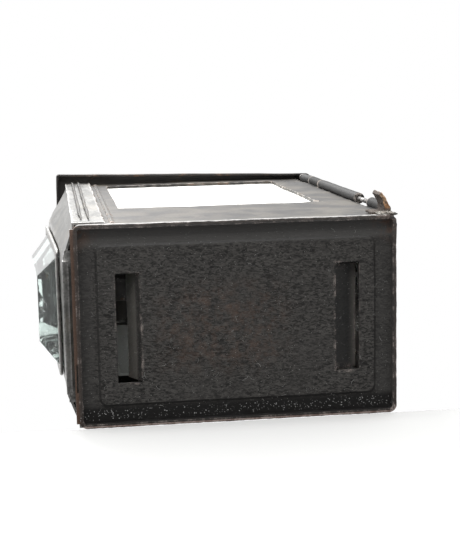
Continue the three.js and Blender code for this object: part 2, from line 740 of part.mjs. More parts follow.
// ---- Candle tray ----
const trayFloor = trayTop + SEAM;
const cupFloor = trayFloor + TIN + SEAM;
const candleFoot = cupFloor + TIN + SEAM;

function candleTray() {
  const foot = prism(roundedRectangle(TRAY_WIDTH, TRAY_DEPTH, TRAY_CORNER), trayFloor, trayFloor + TIN);
  const wall = wallRing(TRAY_WIDTH, TRAY_DEPTH, TRAY_CORNER, TIN, trayFloor, trayFloor + TRAY_HEIGHT);
  const lip = wallRing(
    TRAY_WIDTH + 1.2,
    TRAY_DEPTH + 1.2,
    TRAY_CORNER + 0.6,
    2 * TIN,
    trayFloor + TRAY_HEIGHT - 1.2,
    trayFloor + TRAY_HEIGHT,
  );
  return join(foot, wall, lip);
}

function candleCup() {
  const inner = CANDLE_RADIUS + CUP_CLEARANCE;
  const outer = inner + TIN;
  const top = cupFloor + CUP_HEIGHT;
  const cup = turned([
    [0, cupFloor],
    [outer, cupFloor],
    [outer, top - 1.4],
    [outer + 0.8, top],
    [outer, top],
    [inner, top - 1.4],
    [inner, cupFloor + TIN],
    [0, cupFloor + TIN],
  ]);
  const slitBottom = cupFloor + 0.4 * CUP_HEIGHT;
  const slit = block([0, outer + 4], [-CUP_SLIT / 2, CUP_SLIT / 2], [slitBottom, top + 1]);
  return cut(cup, ...[0, 1, 2].map((turn) => slit.rotate([0, 0, 45 + 120 * turn])));
}

function candle() {
  const top = candleFoot + CANDLE_HEIGHT;
  return turned([
    [0, candleFoot],
    [CANDLE_RADIUS, candleFoot],
    [CANDLE_RADIUS, top - 1.2],
    [CANDLE_RADIUS - 1.2, top],
    [0.3 * CANDLE_RADIUS, top - 1.5],
    [WICK_RADIUS + SEAM, top - 1.8],
    [WICK_RADIUS + SEAM, top - 6],
    [0, top - 6],
  ]);
}

function wick() {
  const foot = candleFoot + CANDLE_HEIGHT - 6 + SEAM;
  return bar(WICK_RADIUS, foot, foot + 4.2 + WICK_LENGTH, 0, 0, 10);
}

// ---- Hood ----
function eavePlate() {
  const width = BASE_WIDTH + 2 * EAVE_SIDE;
  const depth = BASE_DEPTH + EAVE_FRONT + EAVE_BACK;
  const shift = (EAVE_BACK - EAVE_FRONT) / 2;
  const [openX, openY] = ridge.map((size, i) => size / 2 + EAVE_OPENING_MARGIN[i]);
  const plate = cut(
    prism(roundedRectangle(width, depth, 1.2), CASE_TOP - TIN, CASE_TOP),
    block([-openX, openX], [-openY - shift, openY - shift], [CASE_TOP - 5, CASE_TOP + 1]),
  );
  const skirt = wallRing(width, depth, 1.2, TIN, CASE_TOP - EAVE_SKIRT, CASE_TOP - 0.2);
  return join(plate, skirt).translate([0, shift, 0]);
}

function roof() {
  const wall = 1;
  const outer = frustum(roofFoot, ridge, hoodBase, roofTop);
  const inner = frustum(
    roofFoot.map((size) => size - 2.6 * wall),
    ridge.map((size) => size - 1.4 * wall),
    hoodBase - 0.01,
    roofTop - wall,
  );
  const ventBottom = hoodBase + 0.36 * ROOF_HEIGHT;
  const vents = [-1, 0, 1].map((step) =>
    block(
      [-roofFoot[0], roofFoot[0]],
      [step * VENT_PITCH - VENT_LENGTH / 2, step * VENT_PITCH + VENT_LENGTH / 2],
      [ventBottom, ventBottom + VENT_HEIGHT],
    ),
  );
  return cut(outer, inner, bar(CHIMNEY_RADIUS - TIN, roofTop - 3, roofTop + 1, 0, 0, 32), ...vents);
}

function chimney() {
  const tube = turned([
    [CHIMNEY_RADIUS - TIN, chimneyFoot],
    [CHIMNEY_RADIUS + CHIMNEY_FLANGE, chimneyFoot],
    [CHIMNEY_RADIUS + CHIMNEY_FLANGE, chimneyFoot + TIN],
    [CHIMNEY_RADIUS, chimneyFoot + TIN],
    [CHIMNEY_RADIUS, chimneyTop],
    [CHIMNEY_RADIUS - TIN, chimneyTop],
    [CHIMNEY_RADIUS - TIN, chimneyFoot],
  ]);
  const holeHeight = chimneyFoot + 0.42 * CHIMNEY_HEIGHT;
  const hole = crossBar(CHIMNEY_HOLE_RADIUS, 0, CHIMNEY_RADIUS + 5, 0, holeHeight, 12);
  const turns = Array.from({ length: CHIMNEY_HOLES }, (_, i) =>
    hole.rotate([0, 0, (360 * i) / CHIMNEY_HOLES]),
  );
  return cut(tube, ...turns);
}

function chimneyCap() {
  const roll = new THREE.TorusGeometry(capRadius, CAP_ROLL, 8, 32);
  const rolledEdge = solidOf(roll.translate(0, 0, capEdge - TIN / 2));
  return join(
    turned([
      [0, capApex - TIN],
      [capRadius, capEdge - TIN],
      [capRadius, capEdge],
      [0, capApex],
    ]),
    rolledEdge,
  );
}

function capLeg(index) {
  const inner = CHIMNEY_RADIUS + SEAM;
  const underside = capApex - TIN - (CAP_RISE * (inner + TIN)) / capRadius;
  const leg = block(
    [inner, inner + TIN],
    [-LEG_WIDTH / 2, LEG_WIDTH / 2],
    [chimneyTop - LEG_LAP, underside - SEAM],
  );
  return leg.rotate([0, 0, 18 + (360 * index) / LEG_COUNT]);
}

// A bent wire eye on a small disc, standing in the XZ plane.
function ringStaple() {
  const seat = capApex + SEAM;
  const disc = bar(STAPLE_RADIUS + STAPLE_WIRE + 0.6, seat, seat + STAPLE_DISC, 0, 0, 24);
  const path = new THREE.CurvePath();
  const leg = (x, z0, z1) => new THREE.LineCurve3(new THREE.Vector3(x, 0, z0), new THREE.Vector3(x, 0, z1));
  const foot = seat + 0.4 * STAPLE_DISC;
  path.add(leg(-STAPLE_RADIUS, foot, ringPivot));
  const crown = new THREE.CatmullRomCurve3(
    Array.from({ length: 9 }, (_, i) => {
      const turn = Math.PI - (Math.PI * i) / 8;
      return new THREE.Vector3(
        STAPLE_RADIUS * Math.cos(turn),
        0,
        ringPivot + STAPLE_RADIUS * Math.sin(turn),
      );
    }),
  );
  path.add(crown);
  path.add(leg(STAPLE_RADIUS, ringPivot, foot));
  const section = new THREE.Shape().absarc(0, 0, STAPLE_WIRE, 0, 2 * Math.PI);
  const settings = { steps: 28, curveSegments: 5, extrudePath: path, bevelEnabled: false };
  return join(disc, solidOf(new THREE.ExtrudeGeometry(section, settings)));
}

function carryingRing() {
  const torus = new THREE.TorusGeometry(RING_RADIUS, RING_WIRE, 10, 48);
  const ring = solidOf(torus.translate(-RING_RADIUS, 0, 0));
  return ring.rotate([0, -RING_DROOP_DEG, 0]).translate([0, 0, ringPivot]);
}

// ---- Assembly ----
const lantern = new THREE.Group();

addMesh(lantern, "base_plate", basePlate(), japan);
addMesh(lantern, "front_panel", frontSheet(), greyTin);
addMesh(lantern, "lens_glass", lensGlass(), glass);
addMesh(lantern, "lens_bezel", lensBezel(), greyTin);
addMesh(lantern, "right_side_panel", rightSheet(), wornJapan);
addMesh(lantern, "left_side_panel", sideSheet(-1, frameOuter), wornJapan);
for (const [name, side] of [
  ["right", 1],
  ["left", -1],
]) {
  addMesh(lantern, `${name}_lens_clip`, lensClip(side), brightTin);
  addMesh(lantern, `${name}_window_glass`, windowPane(side), glass);
  addMesh(lantern, `${name}_window_channel`, windowChannel(side), greyTin);
}
addMesh(lantern, "back_frame", backFrame(), wornJapan);
addMesh(lantern, "hinge_pin", hingePin(), wire);
addMesh(lantern, "corner_tab", cornerTab(), rust);
addMesh(lantern, "latch_rivet", latchRivet(), brass);
addMesh(lantern, "latch_button", latchButton(), brass);

addMesh(lantern, "back_door", backDoor(), japan);
addMesh(lantern, "door_pull", doorPull(), brass);
addMesh(lantern, "reflector", reflector(), brightTin);
reflectorRivets.forEach((z, i) => addMesh(lantern, `reflector_rivet_${i + 1}`, reflectorRivet(z), brass));

addMesh(lantern, "candle_tray", candleTray(), greyTin);
addMesh(lantern, "candle_cup", candleCup(), brass);
addMesh(lantern, "candle", candle(), wax);
addMesh(lantern, "wick", wick(), wickBlack);

const hood = new THREE.Group();
hood.rotation.z = rad(HOOD_TWIST_DEG);
addMesh(hood, "eave_plate", eavePlate(), japan);
addMesh(hood, "roof", roof(), japan);
addMesh(hood, "chimney", chimney(), wornJapan);
addMesh(hood, "chimney_cap", chimneyCap(), japan);
for (let i = 0; i < LEG_COUNT; i++) addMesh(hood, `cap_leg_${i + 1}`, capLeg(i), wornJapan);
addMesh(hood, "ring_staple", ringStaple(), wire);
addMesh(hood, "carrying_ring", carryingRing(), wire);
lantern.add(hood);

// The origin is the middle of the footprint, on the plane that the rim stands on.
const extent = new THREE.Box3().setFromObject(lantern, true);
const middle = extent.getCenter(new THREE.Vector3());
lantern.position.set(-middle.x, -middle.y, 0);

const root = new THREE.Group();
root.add(lantern);

export default root;
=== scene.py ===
"""The looks of a candle lantern of thin japanned tin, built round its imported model.

Lengths are metres. The lens faces -Y, the door is at +Y with its hinge at the +X corner, and +Z is up.
"""

import json
import math

import bmesh
import bpy
from bpy.props import FloatProperty, FloatVectorProperty, IntProperty, PointerProperty
from mathutils import Matrix, Vector, kdtree, noise


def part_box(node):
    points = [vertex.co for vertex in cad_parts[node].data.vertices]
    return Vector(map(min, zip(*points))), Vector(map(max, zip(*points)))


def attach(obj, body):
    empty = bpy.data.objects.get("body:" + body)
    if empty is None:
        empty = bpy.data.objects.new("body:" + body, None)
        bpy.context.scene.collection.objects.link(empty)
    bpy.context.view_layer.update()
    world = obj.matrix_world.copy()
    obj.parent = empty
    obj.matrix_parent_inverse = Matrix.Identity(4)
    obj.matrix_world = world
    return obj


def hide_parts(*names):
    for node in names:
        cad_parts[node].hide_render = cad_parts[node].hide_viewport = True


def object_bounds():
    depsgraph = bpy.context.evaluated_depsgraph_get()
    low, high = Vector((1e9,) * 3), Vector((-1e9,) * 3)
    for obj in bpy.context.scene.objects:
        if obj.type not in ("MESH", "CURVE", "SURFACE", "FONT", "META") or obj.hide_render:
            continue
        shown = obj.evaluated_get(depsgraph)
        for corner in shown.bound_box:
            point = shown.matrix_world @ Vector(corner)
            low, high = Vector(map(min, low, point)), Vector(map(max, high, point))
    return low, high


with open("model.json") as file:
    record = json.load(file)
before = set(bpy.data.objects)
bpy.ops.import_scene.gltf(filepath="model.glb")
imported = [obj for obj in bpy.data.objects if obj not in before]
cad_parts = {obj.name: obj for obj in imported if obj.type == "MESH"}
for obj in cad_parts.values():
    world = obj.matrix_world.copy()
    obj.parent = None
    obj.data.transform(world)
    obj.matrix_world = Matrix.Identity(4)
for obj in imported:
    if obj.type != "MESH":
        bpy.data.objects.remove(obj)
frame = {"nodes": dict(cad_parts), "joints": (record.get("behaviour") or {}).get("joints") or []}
CAD_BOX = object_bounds()

bl_info = {
    "name": "Candle Lantern",
    "version": (1, 0, 0),
    "blender": (4, 5, 0),
    "location": "View3D > Sidebar > Lantern",
    "description": "Builds the visible pieces, finishes and stage of a tin candle lantern",
    "category": "Object",
}

MM = 0.001
SHARP_ANGLE = math.radians(32)


# ---- Settings ----
class SheetSettings(bpy.types.PropertyGroup):
    """How the tin sheets are folded and dented."""

    fold_radius: FloatProperty(
        name="Fold radius", description="Rounding of the sheets' edges", default=0.16 * MM, unit="LENGTH"
    )
    dent_depth: FloatProperty(
        name="Dent depth", description="How far the sheets waver", default=0.22 * MM, unit="LENGTH"
    )
    dent_width: FloatProperty(
        name="Dent width",
        description="Distance from one dent to the next",
        default=17 * MM,
        unit="LENGTH",
    )
    facet: FloatProperty(
        name="Facet", description="Longest edge left in a sheet's mesh", default=2.6 * MM, unit="LENGTH"
    )
    peel_depth: FloatProperty(
        name="Peel depth",
        description="Depth of the wrinkled japan under the base",
        default=0.05 * MM,
        unit="LENGTH",
    )


class FinishSettings(bpy.types.PropertyGroup):
    """Colours of the metal, paint, rust, glass and wax."""

    japan: FloatVectorProperty(
        name="Japan",
        description="Old black lacquer",
        default=(0.030, 0.028, 0.027),
        subtype="COLOR",
        size=3,
    )
    japan_dusty: FloatVectorProperty(
        name="Dusty japan",
        description="Lacquer gone grey",
        default=(0.060, 0.057, 0.054),
        subtype="COLOR",
        size=3,
    )
    bare_tin: FloatVectorProperty(
        name="Bare tin",
        description="Metal where the paint is gone",
        default=(0.52, 0.47, 0.43),
        subtype="COLOR",
        size=3,
    )
    grey_tin: FloatVectorProperty(
        name="Grey tin",
        description="Dull tinned sheet",
        default=(0.36, 0.355, 0.34),
        subtype="COLOR",
        size=3,
    )
    rust: FloatVectorProperty(
        name="Rust", description="Dark brown rust", default=(0.115, 0.052, 0.028), subtype="COLOR", size=3
    )
    bright_rust: FloatVectorProperty(
        name="Fresh rust", description="Orange rust", default=(0.46, 0.22, 0.085), subtype="COLOR", size=3
    )
    brass: FloatVectorProperty(
        name="Brass", description="Aged brass", default=(0.42, 0.29, 0.12), subtype="COLOR", size=3
    )
    wax: FloatVectorProperty(
        name="Wax", description="Ivory wax", default=(0.80, 0.73, 0.58), subtype="COLOR", size=3
    )


class DustSettings(bpy.types.PropertyGroup):
    """Lint and dust caught in the base's lacquer."""

    fibres: IntProperty(name="Fibres", description="Lint fibres under the base", default=80, min=0)
    specks: IntProperty(name="Specks", description="Dust specks under the base", default=1300, min=0)
    fibre_length: FloatProperty(
        name="Fibre length", description="Length of a lint fibre", default=1.6 * MM, unit="LENGTH"
    )
    fibre_radius: FloatProperty(
        name="Fibre radius",
        description="Half the thickness of a fibre",
        default=0.025 * MM,
        unit="LENGTH",
    )
    speck_radius: FloatProperty(
        name="Speck radius", description="Radius of a large speck", default=0.10 * MM, unit="LENGTH"
    )


class StageSettings(bpy.types.PropertyGroup):
    """Light and camera."""

    above: FloatProperty(name="Above", description="Light from the surround above", default=1.15)
    below: FloatProperty(name="Below", description="Light from the surround below", default=0.22)
    beside: FloatProperty(name="Beside", description="Light added at the +X side", default=0.5)
    softbox: FloatProperty(
        name="Softbox", description="Power of the softbox beside the lantern", default=5.0, unit="POWER"
    )
    top_light: FloatProperty(
        name="Top light", description="Power of the light above the lantern", default=4.0, unit="POWER"
    )
    focal_length: FloatProperty(
        name="Focal length", description="Length of the camera's lens in millimetres", default=100.2
    )


SETTINGS = {
    "lantern_sheet": SheetSettings,
    "lantern_finish": FinishSettings,
    "lantern_dust": DustSettings,
    "lantern_stage": StageSettings,
}


def settings(name):
    return getattr(bpy.context.scene, name)


# ---- Shader expressions ----
class Value:
    """One socket of a material. Arithmetic on it adds the Math nodes that work it out."""

    def __init__(self, finish, socket):
        self.finish = finish
        self.socket = socket

    def _math(self, operation, *operands):
        return self.finish.node("ShaderNodeMath", {"operation": operation}, dict(enumerate(operands)))

    def __add__(self, other):
        return self._math("ADD", self, other)

    def __sub__(self, other):
        return self._math("SUBTRACT", self, other)

    def __rsub__(self, other):
        return self._math("SUBTRACT", other, self)

    def __mul__(self, other):
        return self._math("MULTIPLY", self, other)

    def __abs__(self):
        return self._math("ABSOLUTE", self)

    def __or__(self, other):
        return self._math("MAXIMUM", self, other)

    def __and__(self, other):
        return self._math("MINIMUM", self, other)

    __radd__ = __add__
    __rmul__ = __mul__


class Finish:
    """One procedural material and the helpers that add its nodes."""

    def __init__(self, name, owner=None, coordinates="Object"):
        self.material = owner or bpy.data.materials.new(name)
        self.material.use_nodes = True
        self.tree = self.material.node_tree
        self.tree.nodes.clear()
        self.place = self.node("ShaderNodeTexCoord", output=coordinates)
        self.x, self.y, self.z = (self.part(self.place, axis) for axis in "XYZ")

    def node(self, kind, options=None, inputs=None, output=0):
        """Adds a node of this kind, sets its options, then its sockets, and returns one output."""
        node = self.tree.nodes.new(kind)
        for key, value in (options or {}).items():
            setattr(node, key, value)
        for key, value in (inputs or {}).items():
            if isinstance(value, Value):
                self.tree.links.new(value.socket, node.inputs[key])
            else:
                node.inputs[key].default_value = value
        return Value(self, node.outputs[output]) if node.outputs else None

    def part(self, vector, axis):
        return self.node("ShaderNodeSeparateXYZ", inputs={"Vector": vector}, output=axis)

    def stretched(self, scale):
        """The object's coordinates with each axis scaled."""
        return self.node("ShaderNodeMapping", inputs={"Vector": self.place, "Scale": scale})

    def cloud(self, size, detail=4.0, roughness=0.55, distortion=0.0, vector=None, offset=0.0):
        """Noise from 0 to 1 whose lumps are about this size in metres."""
        sockets = {
            "Vector": vector or self.place,
            "W": offset,
            "Scale": 1.0 / size,
            "Detail": detail,
            "Roughness": roughness,
            "Distortion": distortion,
        }
        return self.node("ShaderNodeTexNoise", {"noise_dimensions": "4D"}, sockets)

    def cells(self, size):
        """Distance to the nearest of scattered points about this size apart in metres, as a share of it."""
        return self.node("ShaderNodeTexVoronoi", {}, {"Vector": self.place, "Scale": 1.0 / size})

    def step(self, value, low, high):
        """0 below low, 1 above high and smooth between them. low may be the larger."""
        sockets = {"Value": value, "From Min": low, "From Max": high}
        return self.node("ShaderNodeMapRange", {"interpolation_type": "SMOOTHSTEP"}, sockets)

    def near(self, value, centre, reach, blur):
        """1 within reach of centre and 0 further off than reach + blur."""
        return self.step(abs(value - centre), reach + blur, reach)

    def blend(self, share, first, second):
        """A colour that goes from first to second as share goes from 0 to 1."""
        first, second = (c if isinstance(c, Value) else (*c, 1.0) for c in (first, second))
        sockets = {0: share, 6: first, 7: second}
        return self.node("ShaderNodeMix", {"data_type": "RGBA"}, sockets, output=2)

    def attribute(self, name):
        return self.node("ShaderNodeAttribute", {"attribute_name": name}, output="Fac")

    def bump(self, height, depth, strength=1.0, under=None):
        """A normal for height, a value from 0 to 1, raised by depth metres."""
        sockets = {"Strength": strength, "Distance": depth, "Height": height}
        if under:
            sockets["Normal"] = under
        return self.node("ShaderNodeBump", {}, sockets)

    def shade(self, **sockets):
        """The surface's own shader. A socket's name has its spaces as underscores."""
        named = {key.replace("_", " "): value for key, value in sockets.items()}
        for key, value in named.items():
            if "Color" in key and isinstance(value, tuple):
                named[key] = (*value, 1.0)
        return self.node("ShaderNodeBsdfPrincipled", {}, named)

    def finish(self, shader):
        self.node("ShaderNodeOutputMaterial", {}, {"Surface": shader})
        return self.material


MATERIALS = {}


def material(name):
    """A finish by name, made the first time that it is asked for."""
    if name not in MATERIALS:
        MATERIALS[name] = FINISHES[name](name)
    return MATERIALS[name]


# ---- Finishes ----
def worn_japan(name, wear=0.5, rust=0.35, greying=0.5, gloss=0.42, shine=0.35, tint=(1.0, 1.0, 1.0)):
    """Black japan over tin, thin on the folds, with painted shade round the hinge, and rust where it has
    gone.
    """
    colours = settings("lantern_finish")
    low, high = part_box("hinge_pin")
    f = Finish(name)
    edge = f.attribute("edge")
    fine = f.cloud(1.1 * MM, 6, 0.7)
    broad = f.cloud(14 * MM, 5, 0.6, 0.4)
    ragged = f.cloud(4 * MM, 7, 0.72, 0.3, offset=3.1)
    chipped = f.step(edge * (0.55 + 0.9 * ragged), 1.02 - 0.45 * wear, 1.12 - 0.4 * wear)
    scuffed = f.step(ragged * 0.6 + fine * 0.4, 0.68 - 0.04 * wear, 0.76) * f.step(broad, 0.5, 0.62)
    rusted = f.step(ragged + edge * 0.16 - 0.2 * fine, 0.56 - 0.14 * rust, 0.66 - 0.1 * rust)
    rusted = rusted * f.step(broad, 0.46, 0.62)
    grey = f.step(broad, 0.38, 0.62) * greying
    dusty = tuple((0.6 + 0.75 * greying) * c * t for c, t in zip(colours.japan_dusty, tint))
    paint = f.blend(grey, tuple(colours.japan), dusty)
    paint = f.blend(f.step(fine, 0.5, 0.74) * 0.5, paint, tuple(1.2 * c for c in dusty))
    rust_colour = f.blend(fine, tuple(colours.rust), tuple(0.5 * c for c in colours.bright_rust))
    colour = f.blend(rusted * 0.85, paint, rust_colour)
    bare = chipped | (scuffed * 0.35)
    colour = f.blend(bare, colour, tuple(colours.bare_tin))
    # Painted shade: the japan round the hinge knuckles is painted near black for the shade under the rolled
    # hinge.
    hinge = f.near(f.y, (low.y + high.y) / 2, 2.6 * MM, 0.4 * MM)
    hinge = hinge * f.near(f.x, (low.x + high.x) / 2, 2.8 * MM, 0.6 * MM)
    colour = f.blend(hinge * 0.94 * (1 - 0.7 * chipped), colour, (0.005, 0.0046, 0.0042))
    bare = bare * (1 - 0.7 * hinge)
    roughness = gloss + 0.18 * (fine - 0.5) + 0.3 * rusted - 0.1 * bare + 0.2 * hinge
    peel = f.cloud(0.75 * MM, 3, 0.5, 0.6)
    relief = f.bump(peel, 0.05 * MM, 0.35)
    relief = f.bump(rusted * fine + (1 - chipped) * 0.3, 0.06 * MM, 0.6, under=relief)
    shader = f.shade(
        Base_Color=colour,
        Metallic=bare * 0.85,
        Roughness=roughness,
        Normal=relief,
        Specular_IOR_Level=shine,
    )
    return f.finish(shader)


def base_japan(name):
    """The base's wrinkled lacquer: smooth with a painted highlight along +X, glossy with painted shade and
    painted glints along -X, bare on the rim's foot.
    """
    low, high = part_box("base_plate")
    middle = (low + high) / 2
    half = (high - low) / 2
    band = 6.4 * MM
    f = Finish(name)
    across = f.x - middle.x
    along = f.y - middle.y
    edge = f.attribute("edge")
    under = f.step(f.z, 3.2 * MM, 2.9 * MM)
    wrinkle_place = f.stretched((1.0, 0.42, 1.0))
    wrinkle = f.cloud(0.62 * MM, 4, 0.62, 1.1, wrinkle_place)
    fine = f.cloud(0.24 * MM, 3, 0.6)
    broad = f.cloud(16 * MM, 4, 0.55)
    ragged = f.cloud(3.2 * MM, 7, 0.72, 0.4, offset=1.7)
    smooth_lit_band = f.step(across, half.x - 1.25 * band, half.x - 0.9 * band) * under
    glossy_shaded_band = f.step(across, -half.x + 1.15 * band, -half.x + 0.75 * band) * under
    side_band = f.step(abs(along), half.y - 1.1 * band, half.y - 0.8 * band) * under
    field = (1 - (smooth_lit_band | glossy_shaded_band | side_band)) * under
    rim = f.step(f.z, 0.75 * MM, 0.25 * MM)
    facing = f.node("ShaderNodeNewGeometry", output="Normal")
    from_edge = (half.x - abs(across)) & (half.y - abs(along))
    outer = f.step(abs(f.part(facing, "Z")), 0.7, 0.4) * f.step(from_edge, 0.45 * MM, 0.3 * MM)
    slope = f.step(abs(f.part(facing, "Z")), 0.985, 0.9) * under * f.step(from_edge, 3 * MM, 4 * MM)

    # Painted shade and highlight: the wrinkles are painted near black in their hollows and grey on their
    # crests, following their relief.
    paint = f.blend(f.step(wrinkle, 0.38, 0.62), (0.008, 0.0075, 0.007), (0.074, 0.070, 0.065))
    paint = f.blend(f.step(broad, 0.4, 0.66) * 0.35, paint, (0.050, 0.047, 0.044))
    # Painted highlight: the smooth band along +X is painted lighter grey for the bright floor that it
    # reflects.
    paint = f.blend(smooth_lit_band * 0.85, paint, (0.098, 0.095, 0.091))
    # Painted shade: the tongue bent in behind the back slot is painted near black.
    back_tongue_shade = f.near(along, 34.6 * MM, 3.4 * MM, 0.3 * MM) * f.near(across, 0.0, 17 * MM, 0.4 * MM)
    paint = f.blend(back_tongue_shade * 0.8, paint, (0.012, 0.012, 0.012))
    # Painted shade: the sloping wall of the pressed field is painted darker.
    paint = f.blend(slope * 0.7, paint, (0.02, 0.019, 0.018))
    paint = f.blend(side_band * (1 - smooth_lit_band) * 0.5, paint, (0.050, 0.048, 0.046))
    # Painted shade: the glossy band along -X is painted near black for the dark that it reflects.
    paint = f.blend(glossy_shaded_band, paint, (0.007, 0.0065, 0.006))
    inside = f.step(f.z, 3.4 * MM, 4.6 * MM)
    paint = f.blend(inside * 0.8, paint, (0.16, 0.15, 0.135))

    # Brown rust: clouds near the middle, a patch at each corner on the +X side, and along the front edge.
    brown_cloud = f.near(along, -4 * MM, 10 * MM, 16 * MM) * f.near(across, -2 * MM, 6 * MM, 12 * MM)
    brown_cloud = brown_cloud * f.step(ragged, 0.42, 0.7) * 0.42
    corner_gap = f.node(
        "ShaderNodeVectorMath",
        {"operation": "LENGTH"},
        {0: f.node("ShaderNodeCombineXYZ", {}, {"X": across - half.x, "Y": abs(along) - half.y})},
        output="Value",
    )
    corner_rust = f.step(corner_gap + 5 * MM * ragged, 13 * MM, 5 * MM) * f.step(ragged, 0.4, 0.6)
    front_rust = f.step(along + 1.6 * MM * ragged, -half.y + 3.2 * MM, -half.y + 1.4 * MM) * 0.8
    front_rust = front_rust * f.step(abs(f.part(facing, "Z")), 0.4, 0.7)
    rusted = (brown_cloud | corner_rust * under | front_rust)
    rust_colour = f.blend(f.step(fine, 0.3, 0.7), (0.085, 0.052, 0.040), (0.20, 0.115, 0.075))
    colour = f.blend(rusted, paint, rust_colour)

    # Bare metal shows on the rim's foot, most on the front and -X sides, and in glints on every fold.
    front_or_low = f.step(along, -half.y + 3 * MM, -half.y + 1.2 * MM)
    front_or_low = front_or_low | f.step(across, -half.x + 3 * MM, -half.x + 1.2 * MM)
    core = f.near(from_edge, 0.42 * MM, 0.16 * MM, 0.16 * MM)
    bare = rim * core * f.step(ragged + 0.10 * front_or_low, 0.50, 0.70) * (0.1 + 0.75 * front_or_low)
    bronze = rim * core * (0.1 + 0.85 * front_or_low)
    colour = f.blend(rim * (1 - outer) * 0.7, colour, (0.03, 0.027, 0.025))
    colour = f.blend(bronze, colour, f.blend(ragged, (0.10, 0.068, 0.056), (0.30, 0.20, 0.165)))
    pale = f.blend(f.step(ragged, 0.35, 0.62), (0.10, 0.095, 0.09), (0.42, 0.41, 0.40))
    colour = f.blend(outer * 0.9, colour, pale)
    by_slot = f.near(abs(along), 34 * MM, 4.6 * MM, 0.8 * MM) * f.near(across, 0.0, 18.4 * MM, 0.8 * MM)
    fold_glint = edge * f.step(ragged + 0.5 * fine, 0.74, 0.9) * 0.7 * (rim | by_slot)
    # Painted glints: small white sparkles painted over the field and, faintly, the +X band.
    glint = f.step(f.cells(0.7 * MM), 0.10, 0.04) * f.step(fine, 0.5, 0.62)
    glint = glint * (0.35 * field + 0.1 * smooth_lit_band)
    # Painted glints: white sparkles painted along the glossy band on the -X side.
    band_glints = f.step(f.cells(0.7 * MM), 0.30, 0.14) * f.step(fine, 0.42, 0.54) * f.step(ragged, 0.38, 0.54)
    band_glints = band_glints * glossy_shaded_band * f.near(across, -half.x + 3.6 * MM, 1.1 * MM, 0.9 * MM)
    glint = glint | band_glints * 0.9
    bare = bare | fold_glint
    pink_metal = f.blend(ragged, (0.50, 0.37, 0.32), (0.70, 0.64, 0.60))
    colour = f.blend(bare, colour, pink_metal)
    colour = f.blend(glint, colour, (0.75, 0.75, 0.74))

    roughness = 0.46 + 0.22 * field * wrinkle + 0.1 * smooth_lit_band - 0.06 * glossy_shaded_band + 0.2 * rusted
    relief = f.bump(wrinkle, 0.22 * MM, 0.75)
    relief = f.bump(fine + ragged, 0.05 * MM, 0.5, under=relief)
    shader = f.shade(
        Base_Color=colour,
        Metallic=bare * 0.9,
        Roughness=roughness,
        Normal=relief,
        Specular_IOR_Level=0.42,
    )
    return f.finish(shader)


def dull_tin(name, dark=0.35, dirt=0.5):
    """Grey tinned sheet, clouded, with small dark specks of lost tin."""
    colours = settings("lantern_finish")
    f = Finish(name)
    edge = f.attribute("edge")
    fine = f.cloud(0.7 * MM, 6, 0.7)
    streak = f.cloud(3.2 * MM, 6, 0.62, 0.5, f.stretched((1.0, 1.0, 0.22)))
    broad = f.cloud(13 * MM, 4, 0.6)
    specks = f.step(f.cells(1.9 * MM) + 0.10 * (fine - 0.5), 0.20, 0.09) * f.step(streak, 0.45, 0.58)
    base = tuple((1 - dark) * c for c in colours.grey_tin)
    colour = f.blend(f.step(streak, 0.34, 0.68), tuple(0.62 * c for c in base), tuple(1.3 * c for c in base))
    colour = f.blend(f.step(broad, 0.45, 0.7) * 0.4, colour, (0.30, 0.27, 0.22))
    colour = f.blend(specks * dirt, colour, (0.035, 0.032, 0.03))
    tarnish = f.step(broad * 0.5 + fine * 0.5, 0.54, 0.66) * dirt
    colour = f.blend(tarnish * 0.4, colour, tuple(colours.rust))
    bare = edge * f.step(fine, 0.35, 0.6)
    colour = f.blend(bare * 0.7, colour, (0.72, 0.71, 0.69))
    roughness = 0.36 + 0.2 * (streak - 0.5) + 0.25 * specks + 0.2 * tarnish
    relief = f.bump(streak * 0.6 + fine * 0.4, 0.05 * MM, 0.5)
    shader = f.shade(
        Base_Color=colour, Metallic=0.82 - 0.6 * specks - 0.3 * tarnish, Roughness=roughness, Normal=relief
    )
    return f.finish(shader)


def rusty_tin(name):
    """Orange to dark brown scale with pits."""
    colours = settings("lantern_finish")
    f = Finish(name)
    scale = f.cloud(0.8 * MM, 8, 0.75, 0.8)
    broad = f.cloud(3.5 * MM, 4, 0.6)
    pits = f.step(f.cells(0.55 * MM), 0.22, 0.05)
    colour = f.blend(f.step(scale, 0.36, 0.62), tuple(colours.rust), tuple(colours.bright_rust))
    colour = f.blend(f.step(broad, 0.40, 0.60) * 0.75, colour, (0.58, 0.39, 0.24))
    colour = f.blend(pits, colour, (0.03, 0.018, 0.012))
    colour = f.blend(f.step(broad, 0.42, 0.3) * 0.6, colour, (0.07, 0.068, 0.066))
    # Painted shade: the tab's faces turned towards -Y and its -X end are painted dark grey.
    low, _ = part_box("corner_tab")
    facing = f.part(f.node("ShaderNodeNewGeometry", output="Normal"), "Y")
    shaded_side = f.step(facing, 0.1, -0.35) | f.step(f.x, low.x + 2.6 * MM, low.x + 1.2 * MM)
    colour = f.blend(shaded_side * 0.92, colour, (0.050, 0.048, 0.046))
    relief = f.bump(scale - 0.5 * pits, 0.12 * MM, 0.8)
    return f.finish(f.shade(Base_Color=colour, Metallic=0.1, Roughness=0.75 + 0.2 * scale, Normal=relief))


